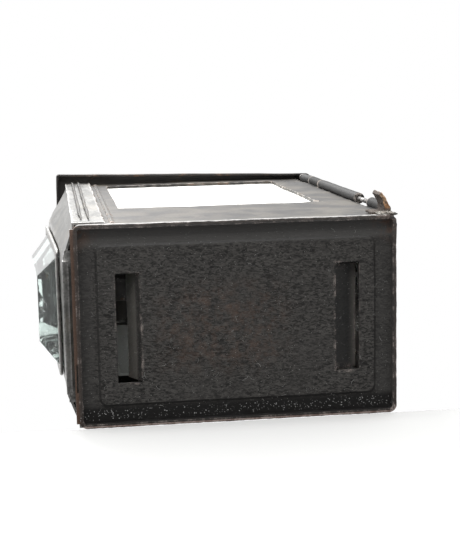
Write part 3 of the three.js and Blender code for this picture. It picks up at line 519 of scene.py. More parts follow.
def iron_wire(name):
    """Dark drawn wire, rubbed bright in patches."""
    f = Finish(name)
    grain = f.cloud(0.5 * MM, 5, 0.65)
    broad = f.cloud(6 * MM, 5, 0.6, 0.4)
    rubbed = f.step(broad + 0.3 * grain, 0.60, 0.78)
    rusted = f.step(broad, 0.44, 0.34) * f.step(grain, 0.42, 0.6)
    colour = f.blend(grain, (0.045, 0.042, 0.04), (0.10, 0.095, 0.09))
    colour = f.blend(rusted * 0.8, colour, (0.17, 0.08, 0.04))
    colour = f.blend(rubbed, colour, (0.46, 0.44, 0.42))
    relief = f.bump(grain, 0.05 * MM, 0.6)
    roughness = 0.46 + 0.2 * grain - 0.12 * rubbed
    shader = f.shade(Base_Color=colour, Metallic=0.85 - 0.7 * rusted, Roughness=roughness, Normal=relief)
    return f.finish(shader)


def aged_brass(name):
    """Brass with a brown skin, bright on the rubbed edges."""
    colours = settings("lantern_finish")
    f = Finish(name)
    edge = f.attribute("edge")
    grain = f.cloud(0.6 * MM, 6, 0.65)
    broad = f.cloud(4 * MM, 4, 0.6)
    skin = f.step(broad + 0.3 * grain - 0.4 * edge, 0.46, 0.72)
    verdigris = f.step(broad - 0.25 * grain, 0.50, 0.58) * 0.35
    colour = f.blend(skin, tuple(1.25 * c for c in colours.brass), (0.10, 0.062, 0.028))
    colour = f.blend(verdigris, colour, (0.12, 0.17, 0.12))
    relief = f.bump(grain, 0.04 * MM, 0.5)
    shader = f.shade(Base_Color=colour, Metallic=0.95 - 0.5 * skin, Roughness=0.3 + 0.3 * skin, Normal=relief)
    return f.finish(shader)


def bright_tin(name):
    """Polished tin with fine rub marks and soot clouds."""
    f = Finish(name)
    rub = f.cloud(1.3 * MM, 5, 0.6, 0.2, f.stretched((1.0, 1.0, 0.08)))
    soot = f.step(f.cloud(18 * MM, 5, 0.6), 0.5, 0.72)
    spots = f.step(f.cells(2.6 * MM), 0.14, 0.05)
    colour = f.blend(rub, (0.62, 0.61, 0.58), (0.82, 0.81, 0.79))
    colour = f.blend(soot * 0.6, colour, (0.20, 0.17, 0.14))
    colour = f.blend(spots * 0.8, colour, (0.14, 0.10, 0.07))
    relief = f.bump(rub, 0.02 * MM, 0.4)
    metallic = 0.95 - 0.5 * soot - 0.4 * spots
    roughness = 0.17 + 0.25 * rub * rub + 0.3 * soot
    shader = f.shade(Base_Color=colour, Metallic=metallic, Roughness=roughness, Normal=relief)
    return f.finish(shader)


def thick_glass(name):
    """Old cast glass, faintly green, scratched and chipped along its folds."""
    f = Finish(name)
    edge = f.attribute("edge")
    fine = f.cloud(0.5 * MM, 4, 0.6)
    hair = f.cloud(2.4 * MM, 2, 0.5, 2.2, f.stretched((1.0, 0.5, 0.28)))
    scratches = f.step(abs(hair - 0.5), 0.006, 0.001) * f.step(f.cloud(7 * MM, 2, offset=4.0), 0.52, 0.62)
    nicks = edge * f.step(f.cloud(1.3 * MM, 4, 0.6, offset=2.0), 0.60, 0.68) * 0.3
    marks = scratches | nicks
    colour = f.blend(marks, (0.80, 0.93, 0.89), (0.96, 0.97, 0.96))
    relief = f.bump(f.cloud(9 * MM, 2, 0.4), 0.08 * MM, 0.5)
    relief = f.bump(marks + 0.05 * fine, 0.05 * MM, 0.8, under=relief)
    clear = f.shade(
        Base_Color=colour, Roughness=0.02 + 0.4 * marks, IOR=1.52, Transmission_Weight=1.0, Normal=relief
    )
    dust = f.shade(Base_Color=(0.86, 0.87, 0.86), Roughness=0.6)
    share = 0.02 + marks * 0.55
    return f.finish(f.node("ShaderNodeMixShader", {}, {0: share, 1: clear, 2: dust}))


def pane_glass(name, soot=0.0):
    """Thin drawn glass that wavers, with dust, a painted reflection that whitens it on a slant, and, as soot
    sets, a dark film of painted shade.
    """
    low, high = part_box("right_window_glass")
    middle = (low + high) / 2
    half = (high - low) / 2
    f = Finish(name)
    wave = f.cloud(22 * MM, 2, 0.4, 0.3, f.stretched((1.0, 1.0, 0.4)))
    fine = f.cloud(0.8 * MM, 5, 0.7)
    specks = f.step(f.cells(2.3 * MM), 0.09, 0.03)
    rim_gap = (half.y - abs(f.y - middle.y)) & (half.z - abs(f.z - middle.z))
    film = f.step(rim_gap + 3 * MM * fine, 8 * MM, 2 * MM)
    relief = f.bump(wave, 0.5 * MM, 0.6)
    clear = f.shade(
        Base_Color=f.blend(film, (0.95, 0.98, 0.96), (0.86, 0.87, 0.82)),
        Roughness=0.01 + 0.05 * film,
        IOR=1.5,
        Transmission_Weight=1.0,
        Normal=relief,
    )
    # Painted shade: with soot set, the film turns dark and spreads in patches, standing for the shade behind
    # the -X pane where the lantern lies.
    pale, dark = (0.93, 0.93, 0.90), (0.012, 0.011, 0.010)
    dust = f.shade(Base_Color=f.blend(soot * (0.85 + 0.15 * fine), pale, dark), Roughness=0.7)
    slant = f.node("ShaderNodeLayerWeight", {}, {"Blend": 0.5}, "Facing")
    # Painted reflection: white dust is painted in as the view slants, for the glass's reflection of the white
    # surround; the rest of the share is dust at the rim and in specks.
    share = 0.05 + 0.95 * f.step(slant, 0.45, 0.72) + 0.16 * fine * fine + 0.2 * film * fine + 0.5 * specks
    shade_patches = f.step(f.cloud(24 * MM, 4, 0.55, 0.4), 0.34, 0.66)
    share = (share | soot * (0.3 + 0.6 * shade_patches)) & 1.0
    return f.finish(f.node("ShaderNodeMixShader", {}, {0: share, 1: clear, 2: dust}))


def ivory_wax(name):
    """Wax with a warm glow, handled smooth, sooty near the wick."""
    colours = settings("lantern_finish")
    _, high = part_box("candle")
    f = Finish(name)
    broad = f.cloud(7 * MM, 4, 0.55)
    fine = f.cloud(0.9 * MM, 5, 0.6)
    soot = f.step(f.z + 2 * MM * fine, high.z - 0.5 * MM, high.z + 1.6 * MM)
    colour = f.blend(f.step(broad, 0.35, 0.7), tuple(colours.wax), tuple(0.86 * c for c in colours.wax))
    colour = f.blend(f.step(fine, 0.66, 0.74) * 0.4, colour, (0.30, 0.24, 0.17))
    colour = f.blend(soot * 0.5, colour, (0.20, 0.16, 0.12))
    relief = f.bump(broad * 0.7 + fine * 0.3, 0.12 * MM, 0.4)
    shader = f.shade(
        Base_Color=colour,
        Roughness=0.36 + 0.2 * broad,
        Subsurface_Weight=0.35,
        Subsurface_Radius=(0.9, 0.6, 0.35),
        Subsurface_Scale=3 * MM,
        Normal=relief,
    )
    return f.finish(shader)


def burnt_wick(name):
    """Plaited cotton, waxed at the foot and charred at the tip."""
    low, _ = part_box("wick")
    f = Finish(name)
    plait = f.cloud(0.35 * MM, 2, 0.5, 0.0, f.stretched((1.0, 1.0, 0.5)))
    char = f.step(f.z + 2 * MM * plait, low.z + 5 * MM, low.z + 9 * MM)
    colour = f.blend(char, (0.62, 0.54, 0.40), (0.018, 0.015, 0.013))
    relief = f.bump(plait, 0.12 * MM, 0.9)
    return f.finish(f.shade(Base_Color=colour, Roughness=0.7 + 0.25 * char, Normal=relief))


def solder(name):
    """Soft solder: rounded, silver grey with dark flux at its foot."""
    f = Finish(name)
    fine = f.cloud(0.5 * MM, 5, 0.6)
    broad = f.cloud(2.5 * MM, 4, 0.6)
    dirty = f.step(broad + 0.3 * fine, 0.5, 0.72)
    colour = f.blend(dirty, (0.56, 0.55, 0.53), (0.16, 0.14, 0.125))
    relief = f.bump(broad * 0.5 + fine * 0.5, 0.06 * MM, 0.6)
    metallic = 0.85 - 0.5 * dirty
    roughness = 0.38 + 0.25 * dirty
    return f.finish(f.shade(Base_Color=colour, Metallic=metallic, Roughness=roughness, Normal=relief))


def pale_lint(name):
    """Cotton lint and dust, a little uneven in colour."""
    f = Finish(name)
    tone = f.cloud(3 * MM, 3, 0.6)
    colour = f.blend(tone, (0.22, 0.215, 0.21), (0.62, 0.62, 0.60))
    return f.finish(f.shade(Base_Color=colour, Roughness=0.75 + 0.2 * tone))


FINISHES = {
    "base_japan": base_japan,
    "black_japan": lambda name: worn_japan(name, wear=0.5, rust=0.4, greying=0.22, shine=0.45),
    "eave_japan": lambda name: worn_japan(
        name, wear=0.35, rust=0.75, greying=0.2, gloss=0.5, tint=(1.15, 1.0, 0.85)
    ),
    "grey_japan": lambda name: worn_japan(
        name, wear=0.7, rust=0.5, greying=1.0, gloss=0.45, shine=0.3, tint=(1.06, 1.0, 0.88)
    ),
    "front_tin": lambda name: dull_tin(name, dark=0.45, dirt=0.8),
    "dull_tin": lambda name: dull_tin(name, dark=0.25, dirt=0.5),
    "bright_tin": bright_tin,
    "rusty_tin": rusty_tin,
    "iron_wire": iron_wire,
    "aged_brass": aged_brass,
    "thick_glass": thick_glass,
    "pane_glass": pane_glass,
    # Painted shade for the -X pane.
    "smoked_glass": lambda name: pane_glass(name, soot=1.0),
    "ivory_wax": ivory_wax,
    "burnt_wick": burnt_wick,
    "solder": solder,
    "pale_lint": pale_lint,
}


# ---- Meshes ----
def finish_piece(name, bm, look, body, replaced=(), smooth_angle=SHARP_ANGLE):
    """Makes the object for a mesh, puts it under its body's empty and hides the imported nodes that it
    replaces.
    """
    low, high = (Vector(corner) for corner in CAD_BOX)
    for v in bm.verts:
        v.co = [min(max(at, least), most) for at, least, most in zip(v.co, low, high)]
    mesh = bpy.data.meshes.new(name)
    bm.to_mesh(mesh)
    bm.free()
    mesh.materials.append(material(look))
    mesh.shade_smooth()
    mesh.set_sharp_from_angle(angle=smooth_angle)
    piece = bpy.data.objects.new(name, mesh)
    bpy.context.scene.collection.objects.link(piece)
    return declare(piece, body, replaced)


def declare(piece, body, replaced=()):
    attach(piece, body)
    if replaced:
        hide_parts(*replaced)
    return piece


def merged_copy(node):
    """A joined-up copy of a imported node, its level faces cleared of the edges that cross them."""
    bm = bmesh.new()
    bm.from_mesh(frame["nodes"][node].data)
    bmesh.ops.remove_doubles(bm, verts=bm.verts, dist=0.002 * MM)
    bmesh.ops.dissolve_limit(bm, angle_limit=math.radians(0.6), verts=bm.verts, edges=bm.edges)
    return bm


def sharp_edges(bm, angle=SHARP_ANGLE):
    return [e for e in bm.edges if e.is_manifold and e.calc_face_angle(0) > angle]


def points_along(edges, spacing=0.4 * MM):
    """Points on the outward folds, close enough together to measure a distance to the fold."""
    found = []
    for e in edges:
        if e.is_convex:
            a, b = (v.co for v in e.verts)
            count = max(1, int((b - a).length / spacing))
            found += [a.lerp(b, i / count) for i in range(count + 1)]
    return found


def refine(bm, longest):
    """Splits edges until none is longer than this. longest may be a function of a place."""
    limit = longest if callable(longest) else lambda place: longest
    bmesh.ops.triangulate(bm, faces=bm.faces)
    for _ in range(9):
        long_edges = [e for e in bm.edges if e.calc_length() > limit((e.verts[0].co + e.verts[1].co) / 2)]
        if not long_edges:
            return
        bmesh.ops.subdivide_edges(bm, edges=long_edges, cuts=1)
        bmesh.ops.triangulate(bm, faces=[face for face in bm.faces if len(face.verts) > 3])


def write_edge_wear(bm, folds, reach):
    """Stores in each vertex how near it is to an outward fold, from 1 on the fold to 0 at reach."""
    layer = bm.verts.layers.float.new("edge")
    if not folds:
        return
    tree = kdtree.KDTree(len(folds))
    for i, place in enumerate(folds):
        tree.insert(place, i)
    tree.balance()
    for v in bm.verts:
        v[layer] = max(0.0, 1.0 - tree.find(v.co)[2] / reach)


def waver(place, depth, width, seed=0.0):
    """A smooth push that bends a whole sheet without changing its thickness."""
    at = place / width + Vector((seed, 0.0, 0.0))
    return depth * (noise.noise_vector(at) + 0.4 * noise.noise_vector(at * 2.7))


def formed(node, look, body, slot, fold=None, facet=None, dent=None, shape=None, segments=2):
    """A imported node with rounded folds, a finer mesh and the dents of handwork."""
    sheet = settings("lantern_sheet")
    bm = merged_copy(node)
    edges = sharp_edges(bm)
    folds = points_along(edges)
    bmesh.ops.bevel(
        bm,
        geom=edges,
        offset=fold or sheet.fold_radius,
        segments=segments,
        profile=0.6,
        affect="EDGES",
        clamp_overlap=True,
    )
    refine(bm, facet or sheet.facet)
    write_edge_wear(bm, folds, 0.55 * MM)
    depth = sheet.dent_depth if dent is None else dent
    for v in bm.verts:
        push = waver(v.co, depth, sheet.dent_width)
        v.co += push + shape(v.co) if shape else push
    bmesh.ops.recalc_face_normals(bm, faces=bm.faces)
    return finish_piece(node + "_formed", bm, look, body, [node])


def spun(profile, centre, axis=(0, 0, 1), sides=64, bulge=None):
    """A turned solid. The profile is radius and height, from the axis or closed on itself.

    bulge(turn, radius, height) gives the share by which the radius grows there.
    """
    bm = bmesh.new()
    turn_to = Vector((0, 0, 1)).rotation_difference(Vector(axis)).to_matrix()
    rings = []
    for i in range(sides):
        turn = 2 * math.pi * i / sides
        ring = []
        for radius, height in profile:
            grown = radius * (1 + (bulge(turn, radius, height) if bulge else 0.0))
            local = Vector((grown * math.cos(turn), grown * math.sin(turn), height))
            ring.append(bm.verts.new(Vector(centre) + turn_to @ local))
        rings.append(ring)
    closed = profile[0][0] > 0
    steps = len(profile) if closed else len(profile) - 1
    for i in range(sides):
        this, following = rings[i], rings[(i + 1) % sides]
        for j in range(steps):
            k = (j + 1) % len(profile)
            bm.faces.new((this[j], following[j], following[k], this[k]))
    bmesh.ops.remove_doubles(bm, verts=bm.verts, dist=0.001 * MM)
    bmesh.ops.recalc_face_normals(bm, faces=bm.faces)
    edges = sharp_edges(bm, math.radians(40))
    write_edge_wear(bm, points_along(edges), 0.6 * MM)
    return bm


def arc(centre, radius, start, end, count):
    """Points of a profile's rounded stretch, angles in degrees."""
    turns = [math.radians(start + (end - start) * i / count) for i in range(count + 1)]
    return [(centre[0] + radius * math.cos(t), centre[1] + radius * math.sin(t)) for t in turns]


def wire(path, radius, sides=14, closed=False, thickness=None):
    """A round wire along points. thickness(share of its length) scales the radius."""
    bm = bmesh.new()
    count = len(path)
    rings = []
    normal = None
    for i, place in enumerate(path):
        before = path[i - 1] if i or closed else path[i]
        after = path[(i + 1) % count] if i < count - 1 or closed else path[i]
        tangent = (after - before).normalized()
        if normal is None:
            normal = tangent.orthogonal().normalized()
        normal = (normal - tangent * normal.dot(tangent)).normalized()
        side = tangent.cross(normal)
        grown = radius * (thickness(i / count) if thickness else 1.0)
        ring = []
        for k in range(sides):
            turn = 2 * math.pi * k / sides
            ring.append(bm.verts.new(place + grown * (math.cos(turn) * normal + math.sin(turn) * side)))
        rings.append(ring)
    for i in range(count if closed else count - 1):
        first, second = rings[i], rings[(i + 1) % count]
        shift = 0
        if closed and i == count - 1:
            shift = min(range(sides), key=lambda s: (second[s].co - first[0].co).length)
        for k in range(sides):
            a, b = k, (k + 1) % sides
            bm.faces.new((first[a], first[b], second[(b + shift) % sides], second[(a + shift) % sides]))
    if not closed:
        for ring in (rings[0], rings[-1]):
            bm.faces.new(ring)
    bmesh.ops.recalc_face_normals(bm, faces=bm.faces)
    write_edge_wear(bm, [], 1.0)
    return bm


def join_meshes(*parts):
    """One mesh from several."""
    whole = parts[0]
    for part in parts[1:]:
        mesh = bpy.data.meshes.new("joining")
        part.to_mesh(mesh)
        part.free()
        whole.from_mesh(mesh)
        bpy.data.meshes.remove(mesh)
    return whole


def centre_of(node):
    low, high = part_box(node)
    return (low + high) / 2


def size_of(node):
    low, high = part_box(node)
    return high - low


# ---- Geometry Nodes ----
class Tree:
    """A geometry node tree with named inputs."""

    def __init__(self, name, sizes):
        self.group = bpy.data.node_groups.new(name, "GeometryNodeTree")
        face = self.group.interface
        face.new_socket("Geometry", in_out="INPUT", socket_type="NodeSocketGeometry")
        face.new_socket("Geometry", in_out="OUTPUT", socket_type="NodeSocketGeometry")
        for label, kind in sizes.items():
            face.new_socket(label, in_out="INPUT", socket_type=kind)
        self.start = self.group.nodes.new("NodeGroupInput")

    def given(self, label):
        return self.start.outputs[label]

    def node(self, kind, options=None, inputs=None, output=0):
        node = self.group.nodes.new(kind)
        for key, value in (options or {}).items():
            setattr(node, key, value)
        for key, value in (inputs or {}).items():
            if isinstance(value, bpy.types.NodeSocket):
                self.group.links.new(value, node.inputs[key])
            else:
                node.inputs[key].default_value = value
        return node.outputs[output]

    def finish(self, geometry, look):
        real = self.node("GeometryNodeRealizeInstances", {}, {"Geometry": geometry})
        painted = self.node("GeometryNodeSetMaterial", {}, {"Geometry": real, "Material": material(look)})
        end = self.group.nodes.new("NodeGroupOutput")
        self.group.links.new(painted, end.inputs["Geometry"])
        return self.group


def grown(name, source, tree, values):
    """The plain mesh that a node tree grows on a source object, which is then removed."""
    modifier = source.modifiers.new("grow", "NODES")
    modifier.node_group = tree
    for item in tree.interface.items_tree:
        if item.in_out == "INPUT" and item.name in values:
            modifier[item.identifier] = values[item.name]
    bpy.context.view_layer.update()
    evaluated = source.evaluated_get(bpy.context.evaluated_depsgraph_get())
    mesh = bpy.data.meshes.new_from_object(evaluated)
    source.modifiers.remove(modifier)
    bpy.data.objects.remove(source)
    if not mesh.polygons:
        raise RuntimeError(f"{name} grew no faces")
    mesh.name = name
    mesh.shade_smooth()
    piece = bpy.data.objects.new(name, mesh)
    bpy.context.scene.collection.objects.link(piece)
    return piece


def source_object(name, places, links=(), faces=()):
    mesh = bpy.data.meshes.new(name)
    mesh.from_pydata([tuple(p) for p in places], list(links), list(faces))
    source = bpy.data.objects.new(name, mesh)
    bpy.context.scene.collection.objects.link(source)
    return source


def bead_tree():
    """Flattened beads of solder, each a little different, along the source's edges."""
    tree = Tree(
        "solder_beads",
        {"Spacing": "NodeSocketFloat", "Radius": "NodeSocketFloat", "Seed": "NodeSocketInt"},
    )
    curve = tree.node("GeometryNodeMeshToCurve", {}, {"Mesh": tree.given("Geometry")})
    points = tree.node(
        "GeometryNodeCurveToPoints", {"mode": "LENGTH"}, {"Curve": curve, "Length": tree.given("Spacing")}
    )
    bead = tree.node("GeometryNodeMeshIcoSphere", {}, {"Radius": tree.given("Radius"), "Subdivisions": 2})
    scale = tree.node(
        "FunctionNodeRandomValue",
        {"data_type": "FLOAT_VECTOR"},
        {0: (0.7, 0.7, 0.7), 1: (1.25, 1.25, 1.25), "Seed": tree.given("Seed")},
    )
    beads = tree.node(
        "GeometryNodeInstanceOnPoints", {}, {"Points": points, "Instance": bead, "Scale": scale}
    )
    return tree.finish(beads, "solder")


def lint_tree():
    """Short bent fibres lying at random on the source's faces."""
    tree = Tree(
        "lint_fibres",
        {
            "Density": "NodeSocketFloat",
            "Length": "NodeSocketFloat",
            "Radius": "NodeSocketFloat",
            "Seed": "NodeSocketInt",
        },
    )
    points = tree.node(
        "GeometryNodeDistributePointsOnFaces",
        {},
        {"Mesh": tree.given("Geometry"), "Density": tree.given("Density"), "Seed": tree.given("Seed")},
    )
    length = tree.given("Length")
    half = tree.node("ShaderNodeMath", {"operation": "MULTIPLY"}, {0: length, 1: 0.5})
    quarter = tree.node("ShaderNodeMath", {"operation": "MULTIPLY"}, {0: length, 1: 0.3})
    back = tree.node("ShaderNodeMath", {"operation": "MULTIPLY"}, {0: length, 1: -0.5})
    start = tree.node("ShaderNodeCombineXYZ", {}, {"X": back})
    middle = tree.node("ShaderNodeCombineXYZ", {}, {"Y": quarter})
    end = tree.node("ShaderNodeCombineXYZ", {}, {"X": half})
    bend = tree.node(
        "GeometryNodeCurveQuadraticBezier",
        {},
        {"Resolution": 5, "Start": start, "Middle": middle, "End": end},
    )
    section = tree.node(
        "GeometryNodeCurvePrimitiveCircle", {}, {"Resolution": 4, "Radius": tree.given("Radius")}
    )
    fibre = tree.node(
        "GeometryNodeCurveToMesh", {}, {"Curve": bend, "Profile Curve": section, "Fill Caps": True}
    )
    turn = tree.node(
        "FunctionNodeRandomValue",
        {"data_type": "FLOAT_VECTOR"},
        {0: (0.0, 0.0, 0.0), 1: (0.0, 0.0, 2 * math.pi), "Seed": tree.given("Seed")},
    )
    scale = tree.node(
        "FunctionNodeRandomValue",
        {"data_type": "FLOAT_VECTOR"},
        {0: (0.25, -1.4, 0.6), 1: (1.3, 1.4, 1.0), "Seed": tree.given("Seed")},
    )
    fibres = tree.node(
        "GeometryNodeInstanceOnPoints",
        {},
        {"Points": points, "Instance": fibre, "Rotation": turn, "Scale": scale},
    )
    return tree.finish(fibres, "pale_lint")


def speck_tree():
    """Small flat grains of dust at random on the source's faces."""
    tree = Tree(
        "dust_specks",
        {"Density": "NodeSocketFloat", "Radius": "NodeSocketFloat", "Seed": "NodeSocketInt"},
    )
    points = tree.node(
        "GeometryNodeDistributePointsOnFaces",
        {},
        {"Mesh": tree.given("Geometry"), "Density": tree.given("Density"), "Seed": tree.given("Seed")},
    )
    grain = tree.node("GeometryNodeMeshIcoSphere", {}, {"Radius": tree.given("Radius"), "Subdivisions": 1})
    scale = tree.node(
        "FunctionNodeRandomValue",
        {"data_type": "FLOAT_VECTOR"},
        {0: (0.25, 0.25, 0.2), 1: (1.0, 1.0, 0.5), "Seed": tree.given("Seed")},
    )
    grains = tree.node(
        "GeometryNodeInstanceOnPoints", {}, {"Points": points, "Instance": grain, "Scale": scale}
    )
    return tree.finish(grains, "pale_lint")


def burr_tree():
    """A raised ring at each of the source's points, lying square to its direction."""
    tree = Tree(
        "hole_burrs",
        {"Hole radius": "NodeSocketFloat", "Burr radius": "NodeSocketFloat"},
    )
    circle = tree.node(
        "GeometryNodeCurvePrimitiveCircle", {}, {"Resolution": 20, "Radius": tree.given("Hole radius")}
    )
    section = tree.node(
        "GeometryNodeCurvePrimitiveCircle", {}, {"Resolution": 7, "Radius": tree.given("Burr radius")}
    )
    ring = tree.node("GeometryNodeCurveToMesh", {}, {"Curve": circle, "Profile Curve": section})
    direction = tree.node(
        "GeometryNodeInputNamedAttribute", {"data_type": "FLOAT_VECTOR"}, {"Name": "direction"}
    )
    turn = tree.node("FunctionNodeAlignRotationToVector", {"axis": "Z"}, {"Vector": direction})
    rings = tree.node(
        "GeometryNodeInstanceOnPoints",
        {},
        {"Points": tree.given("Geometry"), "Instance": ring, "Rotation": turn},
    )
    return tree.finish(rings, "iron_wire")


def seam_beads(name, paths, body, spacing, radius, seed):
    """Solder along straight paths, each a pair of places."""
    places = [place for path in paths for place in path]
    links = [(2 * i, 2 * i + 1) for i in range(len(paths))]
    source = source_object(name + "_path", places, links)
    values = {"Spacing": spacing, "Radius": radius, "Seed": seed}
    return declare(grown(name, source, bead_tree(), values), body)


# ---- Operators ----
class LanternOperator:
    """What the lantern's operators share."""

    bl_options = {"REGISTER", "UNDO"}

    def execute(self, context):
        self.build()
        return {"FINISHED"}


class LANTERN_OT_base(LanternOperator, bpy.types.Operator):
    """The base tray with its wrinkled lacquer, torn corner and bent tongues"""

    bl_idname = "lantern.base"
    bl_label = "Base tray"

    def build(self):
        sheet = settings("lantern_sheet")
        _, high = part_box("base_plate")
        torn = Vector((high.x, high.y, 0.0))
        tray_sheet = 3.2 * MM
        underside = 2.0 * MM

        def facet(place):
            return 1.4 * MM if place.z < underside else 3.0 * MM

        def shape(place):
            """Wrinkles under the tray, a ragged foot to the rim and one torn corner."""
            push = Vector((0.0, 0.0, 0.0))
            if 0.9 * MM < place.z < tray_sheet:
                at = Vector((place.x / 0.9, place.y / 1.9, place.z / 0.9)) / MM
                push.z += sheet.peel_depth * noise.noise(at)
            if place.z < 0.9 * MM:
                at = place / (1.5 * MM)
                push.z += 0.16 * MM * max(0.0, noise.noise(at) + 0.2)
                push.x += 0.10 * MM * noise.noise(at + Vector((9.0, 0.0, 0.0)))
                push.y += 0.10 * MM * noise.noise(at + Vector((0.0, 9.0, 0.0)))
            near_torn = max(0.0, 1.0 - (place - torn).length / (6 * MM))
            if near_torn > 0:
                tear = noise.turbulence_vector(place / (2.2 * MM), 3, False)
                push += near_torn * Vector((0.45 * MM, 0.7 * MM, 0.0)) * abs(noise.noise(place / (1.4 * MM)))
                push += near_torn * 0.5 * MM * Vector(tear)
                push.z = max(push.z, -place.z)
            return push

        formed("base_plate", "base_japan", "case", "japanned_tin", facet=facet, dent=0.12 * MM, shape=shape)
        self.build_corner_lump(high)

    @staticmethod
    def build_corner_lump(high):
        """A blob of old solder and torn tin at the hinge corner."""
        bm = bmesh.new()
        place = Vector((high.x + 0.1 * MM, high.y - 3.2 * MM, 2.3 * MM))
        bmesh.ops.create_icosphere(bm, subdivisions=4, radius=1.0)
        for v in bm.verts:
            lumpy = 1 + 0.5 * noise.noise(v.co * 1.7) + 0.22 * noise.noise(v.co * 5.3)
            v.co = place + lumpy * Vector((v.co.x * 1.1, v.co.y * 3.0, v.co.z * 1.5)) * MM
        write_edge_wear(bm, [], 1.0)
        finish_piece("corner_lump", bm, "front_tin", "case")


class LANTERN_OT_walls(LanternOperator, bpy.types.Operator):
    """The side sheets with their rolled hinge knuckles, the raised front and the back frame"""

    bl_idname = "lantern.walls"
    bl_label = "Walls"

    def build(self):
        formed("right_side_panel", "grey_japan", "case", "worn_tin")
        formed("left_side_panel", "grey_japan", "case", "worn_tin")
        formed("front_panel", "front_tin", "case", "grey_tin")
        formed("back_frame", "grey_japan", "case", "worn_tin")
        formed("right_window_channel", "dull_tin", "case", "grey_tin")
        formed("left_window_channel", "black_japan", "case", "grey_tin")
        self.build_folds()
        self.build_seams()

    @staticmethod
    def build_folds():
        """Two long beads pressed into the near corner of each side sheet."""
        low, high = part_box("right_side_panel")
        left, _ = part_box("left_side_panel")
        sheet_face = high.x - 1.35 * MM
        for side, x in (("right", sheet_face), ("left", left.x)):
            for number, y in enumerate((low.y + 1.8 * MM, low.y + 4.2 * MM), 1):
                path = []
                for i in range(25):
                    sway = 0.25 * MM * noise.noise(Vector((i * 0.4, number, 0)))
                    path.append(Vector((x, y + sway, low.z + (6 + i * 6) * MM)))
                bm = wire(path, 0.42 * MM, 10, thickness=lambda s: 0.25 + min(1.0, 9 * s, 9 * (1 - s)))
                finish_piece(f"{side}_fold_{number}", bm, "grey_japan", "case")

    @staticmethod
    def build_seams():
        """Solder where the walls stand on the base and where the front laps the sides."""
        low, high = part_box("front_panel")
        base_low, base_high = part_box("base_plate")
        foot = low.z + 2.2 * MM
        lap_end = high.y + 0.05 * MM
        seams = [
            [(high.x - 0.35 * MM, lap_end, foot), (high.x - 0.35 * MM, lap_end, high.z - 2 * MM)],
            [(low.x + 0.35 * MM, lap_end, foot), (low.x + 0.35 * MM, lap_end, high.z - 2 * MM)],
        ]
        seam_beads("lap_solder", seams, "case", 1.1 * MM, 0.42 * MM, 3)
        right = base_high.x - 0.62 * MM
        left = base_low.x + 0.62 * MM
        start = base_low.y + 9 * MM
        up = 3.25 * MM
        foot_seams = [
            [(right, start, up), (right, base_high.y - 7 * MM, up)],
            [(left, start, up), (left, base_high.y - 4 * MM, up)],
        ]
        seam_beads("foot_solder", foot_seams, "case", 0.75 * MM, 0.36 * MM, 11)


class LANTERN_OT_lens(LanternOperator, bpy.types.Operator):
    """The thick bevelled lens, its bezel and the clips behind it"""

    bl_idname = "lantern.lens"
    bl_label = "Lens"

    def build(self):
        formed("lens_glass", "thick_glass", "case", "lens_glass", fold=0.22 * MM, facet=3 * MM, dent=0.0)
        formed("lens_bezel", "dull_tin", "case", "grey_tin", fold=0.12 * MM, dent=0.1 * MM)
        for side in ("right", "left"):
            formed(f"{side}_lens_clip", "bright_tin", "case", "bright_tin", facet=1.5 * MM, dent=0.06 * MM)


class LANTERN_OT_panes(LanternOperator, bpy.types.Operator):
    """The wavering side panes"""

    bl_idname = "lantern.panes"
    bl_label = "Side panes"

    def build(self):
        # The -X pane takes the dark film of painted shade.
        for side, look in (("right", "pane_glass"), ("left", "smoked_glass")):
            formed(f"{side}_window_glass", look, "case", "window_glass", facet=4 * MM, dent=0.06 * MM)


